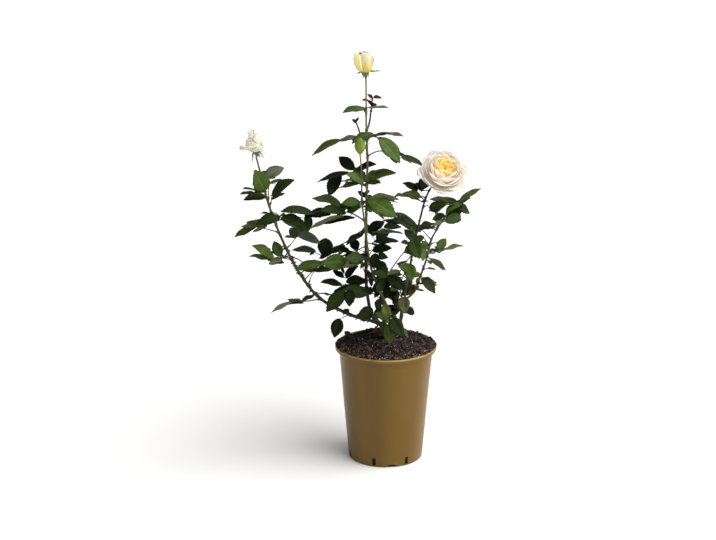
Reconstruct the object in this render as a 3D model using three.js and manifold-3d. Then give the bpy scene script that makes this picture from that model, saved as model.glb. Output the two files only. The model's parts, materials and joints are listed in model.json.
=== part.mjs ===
// Rose bush, a young hybrid tea standing in its round container.
// Units are millimetres, +Z is up. The origin is the centre of the container's flat underside.
// -Y is the side that the large open flower looks to.

import * as THREE from 'three';
import { mergeVertices } from 'three/addons/utils/BufferGeometryUtils.js';
import Module from 'manifold-3d';

const wasm = await Module();
wasm.setup();

// ---------------------------------------------------------------- driving dimensions

const GAP = 0.35;               // clearance between neighbouring solids

const POT_HEIGHT = 232;         // container, underside to the top of the lip
const POT_BASE_R = 73.5;        // outer radius at the underside
const POT_NECK_R = 92.5;        // outer radius just under the lip
const POT_LIP_R = 100;          // outer radius of the rolled lip
const POT_LIP_H = 8;            // height of the rolled lip
const POT_LIP_T = 1.8;          // thickness of the lip's skin
const POT_WALL = 1.6;
const POT_FLOOR = 2.2;
const POT_SIDES = 36;
const POT_FOOT_R = 2;           // rounding of the bottom edge

const SLOT_COUNT = 7;           // drainage slots round the foot
const SLOT_FIRST = -108.5;      // bearing of the first slot, degrees from +X
const SLOT_W = 7;
const SLOT_H = 15;
const SLOT_SILL = 3.2;          // height of each slot's lower edge

const SOIL_EDGE_Z = 231;        // compost level at the container's wall
const SOIL_CROWN = 12;          // how far the mound stands above that level
const SOIL_ROUGH = 2.2;
const SOIL_RINGS = 5;
const SOIL_SIDES = 26;

const UNION = { x: 5, y: -1, z: 261, r: 12.5, shank: 8.5 }; // budded knuckle at the foot of the canes

const LIMB_SIDES = 6;
const LEAF_SIDES = 9;           // meridians of a mass of leaves
const LEAF_RINGS = 7;
const LEAF_PITCH = -14;         // every mass lies a little nose up, as leaves turned to the light do
const STALK_R = 1.5;            // stalk that carries a mass from its limb

// Each limb starts at its foot and grows for its length. lean is its angle from the vertical towards
// +X, and drift its angle towards +Y, both in degrees at even stations from foot to tip.
const LIMBS = {
  cane_left_lower: { foot: [-4.0, -8.0, 271.0], length: 127.6, r: [3.6, 3.1], steps: 9,
    lean: [-59, -75, -64, -56], drift: [-3, -3] },
  cane_left_upper: { foot: [-119.3, -14.0, 323.3], length: 332.1, r: [3.05, 1.6], steps: 18,
    lean: [-50, -33, -25, -21, -16, -11, -12], drift: [-6, -7, -14] },
  cane_centre: { foot: [-1.7, 9.0, 264.4], length: 502.6, r: [3.6, 1.5], steps: 24,
    lean: [-57, -9, 0, 0, 1, 2, -3, 0, -1], drift: [3, 3, 6] },
  shoot_centre: { foot: [5.7, -12.0, 273.4], length: 357.6, r: [2.7, 1.3], steps: 20,
    lean: [4, -24, -18, -5, -8, 0, -5], drift: [-13, -6, -2] },
  cane_right_base: { foot: [14.0, 4.0, 264.0], length: 62, r: [3.8, 3.3], steps: 6,
    lean: [77, 16, -1, 20], drift: [3, 3] },
  cane_right_bloom: { foot: [36.6, 6.0, 323.6], length: 249, r: [2.6, 1.7], steps: 14,
    lean: [3, 10, 8, 12, 11, 25], drift: [-13, -9, -22] },
  cane_right_shoot: { foot: [40.6, 8.6, 323.6], length: 219, r: [2.5, 1.3], steps: 14,
    lean: [59, 20, 20, 11, 31, 34, 56], drift: [17, 9, 3] },
};

// Each mass of leaves hangs on a stalk from its limb: where on the limb (0 foot, 1 tip), the stalk's
// bearing and rise in degrees and its reach, then the mass's half length, half depth and half height,
// its roll in the X-Z plane and its turn about Z, and the number of lobes in its outline.
const MASSES = [
  ['leaves_left_top',      'cane_left_upper',  0.83,  -19,  22, 20,  38, 42, 28,  -5,  20, 5],
  ['leaves_left_tip',      'cane_left_upper',  0.78, -117,   4, 52,  28, 30, 11,   0,  25, 3],
  ['leaves_left_outer',    'cane_left_upper',  0.53,  177,  -2, 59,  28, 34, 17,  -8,  10, 4],
  ['leaves_left_middle',   'cane_left_upper',  0.45,   91,  23, 65,  52, 45, 19,  -3, -15, 5],
  ['leaves_left_knee',     'cane_left_upper',  0.43, -127,  -4, 61,  34, 36, 22, -12,  20, 5],
  ['leaves_left_inner',    'cane_left_upper',  0.30,   82,  21, 81,  35, 36, 14, -12, -10, 4],
  ['leaves_fan_left',      'cane_left_upper',  0.20,  -10,  53, 39,  42, 40, 15,   5,   0, 4],
  ['leaves_left_low',      'cane_left_upper',  0.07, -126,   1, 69,  47, 42, 15,   8,  15, 4],
  ['leaves_high_left',     'cane_centre',      0.72, -138,  12, 89,  46, 42, 13,  24, -20, 3],
  ['leaves_upper_left',    'cane_centre',      0.55,  140,  22, 68,  43, 46, 27,  20, -15, 5],
  ['leaves_centre_left',   'shoot_centre',     0.65,  154,  10, 74,  57, 50, 21,  12,  10, 6],
  ['leaves_inner_left',    'cane_centre',      0.27,  128,  14, 93,  39, 46, 22,   5,   0, 5],
  ['leaves_fan_right',     'shoot_centre',     0.38, -179,  14, 41,  28, 40, 19,   0,   0, 4],
  ['leaves_low_left',      'cane_left_lower',  0.85,  -68,  40, 75,  37, 50, 28,  25,   0, 5],
  ['leaves_hanging',       'cane_left_lower',  0.60, -126, -37, 36,  11, 14, 19, -10,   0, 3],
  ['leaves_foot_left',     'cane_centre',      0.08,  106, -19, 52,  20, 34, 16,  20,   0, 3],
  ['leaves_foot_front',    'shoot_centre',     0.08,  -91,   8, 54,  28, 40, 22, -30,   0, 5],
  ['leaves_top',           'cane_centre',      0.88, -158,  25, 10,  47, 34, 10,   5,  20, 4],
  ['leaves_young',         'cane_centre',      0.80,   75,  13, 37,  35, 30, 20,   0,  20, 4],
  ['leaves_upper_right',   'cane_centre',      0.68,  -53,  23, 89,  45, 42, 26, -25, -15, 5],
  ['leaves_upper_centre',  'cane_centre',      0.55,   73,  17, 82,  34, 44, 22,   0,  10, 5],
  ['leaves_front',         'shoot_centre',     0.72,  -54,  15, 59,  32, 42, 24, -38,   0, 5],
  ['leaves_centre_right',  'cane_right_bloom', 0.62,  174,  34, 30,  34, 42, 17, -28,  10, 4],
  ['leaves_centre_back',   'cane_centre',      0.30,   66,  11, 97,  36, 46, 30,   0,   0, 6],
  ['leaves_centre_low',    'shoot_centre',     0.37,  -61,  35, 30,  23, 36, 21,   0,   0, 4],
  ['leaves_right_inner',   'cane_right_bloom', 0.53,  -96,   4, 53,  24, 42, 26,   0,   0, 5],
  ['leaves_right_low',     'cane_right_bloom', 0.25, -112,   8, 49,  30, 44, 24,   0,   0, 5],
  ['leaves_low_right',     'cane_right_base',  0.63,   98,   0, 72,  28, 46, 28, -10,   0, 5],
  ['leaves_under_bloom',   'cane_right_bloom', 0.80,  136,  39, 43,  32, 42, 17,   0,   0, 4],
  ['leaves_right_top',     'cane_right_shoot', 1.00, -104,  23, 22,  48, 42, 19,   0,  15, 5],
  ['leaves_right_middle',  'cane_right_shoot', 0.75,   78,   1, 56,  30, 42, 18,   0,   0, 4],
  ['leaves_right_bend',    'cane_right_shoot', 0.63,  173,  22, 19,  23, 34, 16,   0,   0, 4],
  ['leaves_right_outer',   'cane_right_shoot', 0.48,   58,  -7, 79,  30, 38, 14,  10,   0, 4],
  ['leaves_right_tail',    'cane_right_shoot', 0.33,  -63,  18, 44,  25, 34, 10, -28,   0, 3],
  ['leaves_right_foot',    'cane_right_bloom', 0.15,  -33,   2, 51,  17, 30, 17, -50,   0, 4],
];

// Flowers: the limb whose tip carries it, the direction it looks (bearing and rise), the length and
// greatest radius of its body, how far along the body that radius lies, and the number of petal lobes.
const FLOWERS = [
  ['bloom_right', 'cane_right_bloom', -48,  46, 58, 44, 0.66, 6],
  ['bud_top',     'cane_centre',      -60,  86, 56, 18, 0.66, 4],
  ['bud_left',    'cane_left_upper', -160,  78, 52, 16, 0.58, 3],
  ['bud_green',   'shoot_centre',      90,  88, 33,  9, 0.45, 3],
];

// ---------------------------------------------------------------- materials

const paint = (hex, roughness, metalness = 0) =>
  new THREE.MeshStandardMaterial({ color: hex, roughness, metalness });
const MAT = {
  pot: paint(0x7c6636, 0.42),
  soil: paint(0x33282a, 0.95),
  bark: paint(0x33382a, 0.6),
  shoot: paint(0x78823c, 0.5),
  leaves: paint(0x3c5028, 0.45),
  bloom: paint(0xf3e2c0, 0.6),
  bud: paint(0xf2e6bb, 0.6),
  green: paint(0x8a9850, 0.55),
};

// ---------------------------------------------------------------- solids

const rad = THREE.MathUtils.degToRad;

// A repeatable noise: the same seed gives the same number each time.
function hash(seed, i) {
  const s = Math.sin(seed * 127.1 + i * 311.7) * 43758.5453;
  return s - Math.floor(s);
}

// Closed three.js geometry to a solid with its faces pointing out.
function solid(geometry) {
  const g = geometry.clone();
  g.deleteAttribute('normal');
  g.deleteAttribute('uv');
  const m = mergeVertices(g, 1e-3);
  const p = m.getAttribute('position').array;
  const raw = m.index.array;
  const tri = [];
  for (let i = 0; i < raw.length; i += 3) {
    const [a, b, c] = [raw[i], raw[i + 1], raw[i + 2]];
    if (a !== b && b !== c && c !== a) tri.push(a, b, c);
  }
  let vol = 0;
  for (let i = 0; i < tri.length; i += 3) {
    const [a, b, c] = [tri[i] * 3, tri[i + 1] * 3, tri[i + 2] * 3];
    vol += p[a] * (p[b + 1] * p[c + 2] - p[b + 2] * p[c + 1])
      - p[a + 1] * (p[b] * p[c + 2] - p[b + 2] * p[c])
      + p[a + 2] * (p[b] * p[c + 1] - p[b + 1] * p[c]);
  }
  if (vol < 0) for (let i = 0; i < tri.length; i += 3) [tri[i + 1], tri[i + 2]] = [tri[i + 2], tri[i + 1]];
  return new wasm.Manifold(new wasm.Mesh({
    numProp: 3, vertProperties: new Float32Array(p), triVerts: new Uint32Array(tri),
  }));
}

// The largest body of a solid, so that a cut never leaves loose crumbs in a node.
function largest(s) {
  const parts = s.decompose();
  let best = parts[0];
  for (const part of parts) if (part.volume() > best.volume()) best = part;
  return best;
}

function toGeometry(s) {
  const mesh = s.getMesh();
  const g = new THREE.BufferGeometry();
  const n = mesh.vertProperties.length / mesh.numProp;
  const pos = new Float32Array(n * 3);
  for (let i = 0; i < n; i++) for (let k = 0; k < 3; k++) pos[3 * i + k] = mesh.vertProperties[i * mesh.numProp + k];
  g.setAttribute('position', new THREE.BufferAttribute(pos, 3));
  g.setIndex(new THREE.BufferAttribute(new Uint32Array(mesh.triVerts), 1));
  g.computeVertexNormals();
  return g;
}

// Smooth value along even stations.
function along(values, t) {
  const n = values.length - 1;
  const u = Math.min(Math.max(t, 0), 1) * n;
  const i = Math.min(Math.floor(u), n - 1);
  let f = u - i;
  f = f * f * (3 - 2 * f);
  return values[i] * (1 - f) + values[i + 1] * f;
}

// The line of a limb, as points from foot to tip with the direction of growth at each.
const FINE = 120;
function growLine(limb) {
  const p = new THREE.Vector3(...limb.foot);
  const line = [];
  const heading = (t) => {
    const a = rad(along(limb.lean, t));
    const b = rad(along(limb.drift, t));
    return new THREE.Vector3(Math.sin(a) * Math.cos(b), Math.sin(b), Math.cos(a) * Math.cos(b));
  };
  line.push({ p: p.clone(), d: heading(0) });
  for (let i = 0; i < FINE; i++) {
    p.addScaledVector(heading((i + 0.5) / FINE), limb.length / FINE);
    line.push({ p: p.clone(), d: heading((i + 1) / FINE) });
  }
  return line;
}

// A tapering cylinder bent along the limb's line. grow makes it fatter and longer all round.
function limbGeometry(limb, line, grow = 0) {
  const g = new THREE.CylinderGeometry(limb.r[1] + grow, limb.r[0] + grow, 1, LIMB_SIDES, limb.steps);
  const pos = g.getAttribute('position');
  const side = new THREE.Vector3();
  const up = new THREE.Vector3();
  for (let i = 0; i < pos.count; i++) {
    const t = pos.getY(i) + 0.5;
    const x = pos.getX(i);
    const z = pos.getZ(i);
    const k = Math.min(Math.round(t * FINE), FINE);
    const { p, d } = line[k];
    side.set(0, 1, 0).cross(d).normalize();
    up.copy(d).cross(side);
    const q = p.clone().addScaledVector(side, x).addScaledVector(up, z);
    if (grow && k === 0) q.addScaledVector(d, -grow);
    if (grow && k === FINE) q.addScaledVector(d, grow);
    pos.setXYZ(i, q.x, q.y, q.z);
  }
  return g;
}

// An uneven rounded body: a sphere whose surface is drawn out into lobes at seeded bearings.
function lumpGeometry(rx, ry, rz, lobes, seed, depth) {
  const g = new THREE.SphereGeometry(1, LEAF_SIDES, LEAF_RINGS);
  g.rotateX(Math.PI / 2);
  const dirs = [];
  for (let k = 0; k < lobes; k++) {
    const a = (k + 0.6 * hash(seed, k)) * 2 * Math.PI / lobes;
    const h = (hash(seed, k + 20) - 0.5) * 1.1;
    dirs.push(new THREE.Vector3(Math.cos(a), Math.sin(a), h).normalize());
  }
  const pos = g.getAttribute('position');
  const v = new THREE.Vector3();
  for (let i = 0; i < pos.count; i++) {
    v.fromBufferAttribute(pos, i).normalize();
    let s = 0;
    dirs.forEach((d, k) => {
      const c = Math.max(0, v.dot(d));
      s = Math.max(s, c * c * (0.75 + 0.5 * hash(seed, k + 40)));
    });
    const r = 1 - depth + depth * s * 1.35;
    pos.setXYZ(i, v.x * r * rx, v.y * r * ry, v.z * r * rz);
  }
  return g;
}

function place(g, roll, pitch, yaw, at) {
  g.rotateY(rad(-roll));
  g.rotateX(rad(pitch));
  g.rotateZ(rad(yaw));
  g.translate(at.x, at.y, at.z);
  return g;
}

// A body turned about its own axis, standing on a point and looking along a direction.
function flowerGeometry(base, bearing, rise, length, radius, widest, lobes, grow, seed) {
  const rows = 7;
  const pts = [new THREE.Vector2(0, -grow)];
  for (let i = 1; i < rows; i++) {
    const t = i / rows;
    const u = t < widest ? 0.5 * t / widest : 0.5 + 0.5 * (t - widest) / (1 - widest);
    pts.push(new THREE.Vector2(Math.pow(Math.sin(Math.PI * u), 0.62) * radius + grow, t * length));
  }
  pts.push(new THREE.Vector2(0, length * 0.97 + grow));
  const g = new THREE.LatheGeometry(pts, 14);
  const pos = g.getAttribute('position');
  for (let i = 0; i < pos.count; i++) {
    const x = pos.getX(i);
    const z = pos.getZ(i);
    const a = Math.atan2(z, x);
    const w = 1 + 0.09 * Math.cos(lobes * a + seed) + 0.05 * Math.cos(2 * a + 2 * seed);
    pos.setXYZ(i, x * w, pos.getY(i), z * w);
  }
  const d = new THREE.Vector3(Math.cos(rad(rise)) * Math.cos(rad(bearing)),
    Math.cos(rad(rise)) * Math.sin(rad(bearing)), Math.sin(rad(rise)));
  g.applyQuaternion(new THREE.Quaternion().setFromUnitVectors(new THREE.Vector3(0, 1, 0), d));
  g.translate(base.x, base.y, base.z);
  return g;
}

// ---------------------------------------------------------------- container and compost

const wallR = (z) => POT_BASE_R + (POT_NECK_R - POT_BASE_R) * z / (POT_HEIGHT - POT_LIP_H);
const neckZ = POT_HEIGHT - POT_LIP_H;

function potSolid() {
  const p = [
    [0, 0], [POT_BASE_R - POT_FOOT_R, 0], [POT_BASE_R, POT_FOOT_R],
    [wallR(neckZ * 0.5), neckZ * 0.5], [POT_NECK_R, neckZ - 0.6],
    [POT_LIP_R - 0.8, neckZ], [POT_LIP_R, neckZ + 1], [POT_LIP_R, POT_HEIGHT - 1.6], [POT_LIP_R - 1.2, POT_HEIGHT],
    [POT_LIP_R - POT_LIP_T - 1.2, POT_HEIGHT], [POT_LIP_R - POT_LIP_T - 1.9, neckZ + 1.6],
    [POT_NECK_R - POT_WALL, neckZ - 0.4],
    [wallR(neckZ * 0.5) - POT_WALL, neckZ * 0.5], [wallR(POT_FLOOR) - POT_WALL, POT_FLOOR], [0, POT_FLOOR],
  ].map(([r, z]) => new THREE.Vector2(r, z));
  const g = new THREE.LatheGeometry(p, POT_SIDES);
  g.rotateX(Math.PI / 2);
  let s = solid(g);
  for (let k = 0; k < SLOT_COUNT; k++) {
    const b = new THREE.BoxGeometry(14, SLOT_W, SLOT_H);
    b.translate(POT_BASE_R, 0, SLOT_SILL + SLOT_H / 2);
    b.rotateZ(rad(SLOT_FIRST + k * 360 / SLOT_COUNT));
    s = s.subtract(solid(b));
  }
  return s;
}

function soilSolid() {
  const pts = [[0, POT_FLOOR + GAP], [wallR(POT_FLOOR) - POT_WALL - GAP - 0.4, POT_FLOOR + GAP],
    [wallR(neckZ * 0.5) - POT_WALL - GAP - 0.5, neckZ * 0.5],
    [POT_NECK_R - POT_WALL - GAP - 0.5, neckZ - 0.6], [POT_LIP_R - POT_LIP_T - 2.6, neckZ + 2.2],
    [POT_LIP_R - POT_LIP_T - 2.2, SOIL_EDGE_Z]];
  const edge = POT_LIP_R - POT_LIP_T - 2.2;
  for (let i = 1; i <= SOIL_RINGS; i++) {
    const f = i / SOIL_RINGS;
    pts.push([edge * (1 - f), SOIL_EDGE_Z + SOIL_CROWN * Math.pow(Math.sin(f * Math.PI / 2), 0.8)]);
  }
  const g = new THREE.LatheGeometry(pts.map(([r, z]) => new THREE.Vector2(Math.max(r, 0), z)), SOIL_SIDES);
  g.rotateX(Math.PI / 2);
  const pos = g.getAttribute('position');
  for (let i = 0; i < pos.count; i++) {
    const x = pos.getX(i);
    const y = pos.getY(i);
    const z = pos.getZ(i);
    if (z < SOIL_EDGE_Z - 0.5) continue;
    const r = Math.hypot(x, y);
    const fade = Math.min(1, (edge - r) / 12 + 0.25);
    const n = Math.sin(x * 0.11 + 1.3) * Math.cos(y * 0.13 - 0.4) + 0.6 * Math.sin(x * 0.23 - y * 0.19);
    pos.setZ(i, z + SOIL_ROUGH * n * fade);
  }
  return solid(g);
}

// ---------------------------------------------------------------- assembly

const group = new THREE.Group();
group.name = 'rose_bush';

function add(name, s, material) {
  const mesh = new THREE.Mesh(toGeometry(s), material);
  mesh.name = name;
  group.add(mesh);
}

add('pot', potSolid(), MAT.pot);

// Limbs. Where one starts at another's end it is cut clear of that end.
const lines = {};
const limbs = {};
const grown = {};
for (const [name, limb] of Object.entries(LIMBS)) {
  lines[name] = growLine(limb);
  limbs[name] = solid(limbGeometry(limb, lines[name]));
  grown[name] = solid(limbGeometry(limb, lines[name], GAP + 0.1));
}
const CUT_BY = {
  cane_left_upper: ['cane_left_lower'],
  cane_right_bloom: ['cane_right_base'],
  cane_right_shoot: ['cane_right_base', 'cane_right_bloom'],
};
for (const [name, others] of Object.entries(CUT_BY)) {
  for (const other of others) limbs[name] = largest(limbs[name].subtract(grown[other]));
}

// The knuckle that the canes spring from, on its short shank down to the compost.
let union = solid(place(lumpGeometry(UNION.r * 1.25, UNION.r, UNION.r, 4, 3.1, 0.3), 10, 0, 0,
  new THREE.Vector3(UNION.x, UNION.y, UNION.z)));
const shankBottom = SOIL_EDGE_Z - 6;
const shank = new THREE.CylinderGeometry(UNION.shank, UNION.shank * 1.25, UNION.z - shankBottom, 9, 1);
shank.rotateX(Math.PI / 2);
shank.translate(UNION.x, UNION.y, (UNION.z + shankBottom) / 2);
union = union.add(solid(shank));
for (const name of Object.keys(LIMBS)) union = union.subtract(grown[name]);
union = largest(union);

// The compost is banked round the shank.
const socket = new THREE.CylinderGeometry(UNION.shank * 1.1 + GAP + 0.3, UNION.shank * 1.25 + GAP + 0.5,
  UNION.z - shankBottom + 2, 9, 1);
socket.rotateX(Math.PI / 2);
socket.translate(UNION.x, UNION.y, (UNION.z + shankBottom) / 2 - GAP - 0.3);
const knuckleRoom = solid(place(lumpGeometry(UNION.r * 1.25 + 1, UNION.r + 1, UNION.r + 1, 4, 3.1, 0.3), 10, 0, 0,
  new THREE.Vector3(UNION.x, UNION.y, UNION.z)));
const soil = largest(soilSolid().subtract(solid(socket)).subtract(knuckleRoom));
add('soil', soil, MAT.soil);
add('graft_union', union, MAT.bark);
for (const name of Object.keys(LIMBS)) add(name, limbs[name], name === 'shoot_centre' ? MAT.shoot : MAT.bark);

// Flowers at the tips.
const cutters = Object.keys(LIMBS).map((name) => grown[name]);
FLOWERS.forEach(([name, limb, bearing, rise, length, radius, widest, lobes], k) => {
  const tip = lines[limb][FINE];
  const base = tip.p.clone().addScaledVector(tip.d, GAP + 0.2);
  let s = solid(flowerGeometry(base, bearing, rise, length, radius, widest, lobes, 0, k));
  s = largest(s.subtract(grown[limb]));
  cutters.push(solid(flowerGeometry(base, bearing, rise, length, radius, widest, lobes, GAP + 0.6, k)));
  add(name, s, name === 'bud_green' ? MAT.green : name === 'bloom_right' ? MAT.bloom : MAT.bud);
});

// Masses of leaves, each cut round the limbs, the flowers and the masses before it.
const potRoom = new THREE.CylinderGeometry(POT_LIP_R + 2, POT_LIP_R + 2, POT_HEIGHT + SOIL_CROWN + 5, 24, 1);
potRoom.rotateX(Math.PI / 2);
potRoom.translate(0, 0, (POT_HEIGHT + SOIL_CROWN + 5) / 2);
cutters.push(solid(potRoom));
cutters.push(solid(place(lumpGeometry(UNION.r * 1.25 + 1, UNION.r + 1, UNION.r + 1, 4, 3.1, 0.3), 10, 0, 0,
  new THREE.Vector3(UNION.x, UNION.y, UNION.z))));
MASSES.forEach(([name, limb, at, bearing, rise, reach, a, b, c, roll, yaw, lobes], k) => {
  const root = lines[limb][Math.round(at * FINE)].p;
  const dir = new THREE.Vector3(Math.cos(rad(rise)) * Math.cos(rad(bearing)),
    Math.cos(rad(rise)) * Math.sin(rad(bearing)), Math.sin(rad(rise)));
  const centre = root.clone().addScaledVector(dir, reach);
  const body = (grow) => {
    let s = solid(place(lumpGeometry(a + grow, b + grow, c + grow, lobes, k + 1.7, 0.3), roll, LEAF_PITCH, yaw, centre));
    if (reach > 24) {
      const stalk = new THREE.CylinderGeometry(STALK_R * 1.8 + grow, STALK_R + grow, reach, 5, 1);
      stalk.applyQuaternion(new THREE.Quaternion().setFromUnitVectors(new THREE.Vector3(0, 1, 0), dir));
      stalk.translate(...root.clone().addScaledVector(dir, reach / 2).toArray());
      s = s.add(solid(stalk));
    }
    return s;
  };
  let s = body(0);
  for (const cutter of cutters) s = s.subtract(cutter);
  add(name, largest(s).simplify(0.15), MAT.leaves);
  cutters.push(body(GAP + 0.7));
});

export default group;
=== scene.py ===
"""Rose bush in its pot: the visual model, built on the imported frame.

Limbs repeat the growth law of the frame's canes. Every compound leaf grows from a limb on its own
rachis. The tables hold the habit of the sprays; seeded rules add their hidden leaflets and the sprays
on the far side. Lengths in the tables are in millimetres, angles in degrees.
"""
import json
import math
import random

import bpy
import numpy as np
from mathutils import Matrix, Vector


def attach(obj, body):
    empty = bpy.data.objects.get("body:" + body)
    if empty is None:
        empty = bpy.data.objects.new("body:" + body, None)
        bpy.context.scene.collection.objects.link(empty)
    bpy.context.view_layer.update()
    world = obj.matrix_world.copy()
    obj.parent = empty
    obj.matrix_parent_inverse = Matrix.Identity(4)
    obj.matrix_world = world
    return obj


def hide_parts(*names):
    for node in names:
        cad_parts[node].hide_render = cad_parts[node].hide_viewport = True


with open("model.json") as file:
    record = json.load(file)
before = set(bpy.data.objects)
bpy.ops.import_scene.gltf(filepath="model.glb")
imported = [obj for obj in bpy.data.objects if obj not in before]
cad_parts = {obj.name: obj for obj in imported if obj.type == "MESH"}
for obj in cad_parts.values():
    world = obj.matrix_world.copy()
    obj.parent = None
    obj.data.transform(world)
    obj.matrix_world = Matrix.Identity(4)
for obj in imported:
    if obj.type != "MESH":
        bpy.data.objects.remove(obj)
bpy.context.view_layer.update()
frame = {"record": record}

# ------------------------------------------------------------------ camera
cam_data = bpy.data.cameras.new("camera")
cam_data.sensor_width = 36.0
cam_data.lens = 78.03
cam_data.clip_start, cam_data.clip_end = 0.05, 50.0
cam = bpy.data.objects.new("camera", cam_data)
cam.location = (-0.055, -2.9, 1.23)
cam.rotation_euler = (math.radians(73.74), 0.0, 0.0)
bpy.context.scene.collection.objects.link(cam)
bpy.context.scene.camera = cam

# ------------------------------------------------------------------ sizes repeated from the frame
POT_H, BASE_R, NECK_R, LIP_R, LIP_H, LIP_T, WALL, FLOOR = 232, 73.5, 92.5, 100, 8, 1.8, 1.6, 2.2
SLOTS, SLOT_FIRST, SLOT_W, SLOT_H, SLOT_SILL = 7, -108.5, 7, 15, 3.2
SOIL_EDGE_Z, SOIL_CROWN = 231, 12
KNUCKLE = (5, -1, 261, 12.5, 8.5)

# limb: foot, length, radius at foot and tip, lean and drift along it
LIMBS = {
    "cane_left_lower": ((-4, -8, 271), 127.6, (3.6, 3.1), (-59, -75, -64, -56), (-3, -3)),
    "cane_left_upper": ((-119.3, -14, 323.3), 332.1, (3.05, 1.6), (-50, -33, -25, -21, -16, -11, -12), (-6, -7, -14)),
    "cane_centre": ((-1.7, 9, 264.4), 502.6, (3.6, 1.5), (-57, -9, 0, 0, 1, 2, -3, 0, -1), (3, 3, 6)),
    "shoot_centre": ((5.7, -12, 273.4), 357.6, (2.7, 1.3), (4, -24, -18, -5, -8, 0, -5), (-13, -6, -2)),
    "cane_right_base": ((14, 4, 264), 62, (3.8, 3.3), (77, 16, -1, 20), (3, 3)),
    "cane_right_bloom": ((36.6, 6, 323.6), 249, (2.6, 1.7), (3, 10, 8, 12, 11, 25), (-13, -9, -22)),
    "cane_right_shoot": ((40.6, 8.6, 323.6), 219, (2.5, 1.3), (59, 20, 20, 11, 31, 34, 56), (17, 9, 3)),
}

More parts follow.
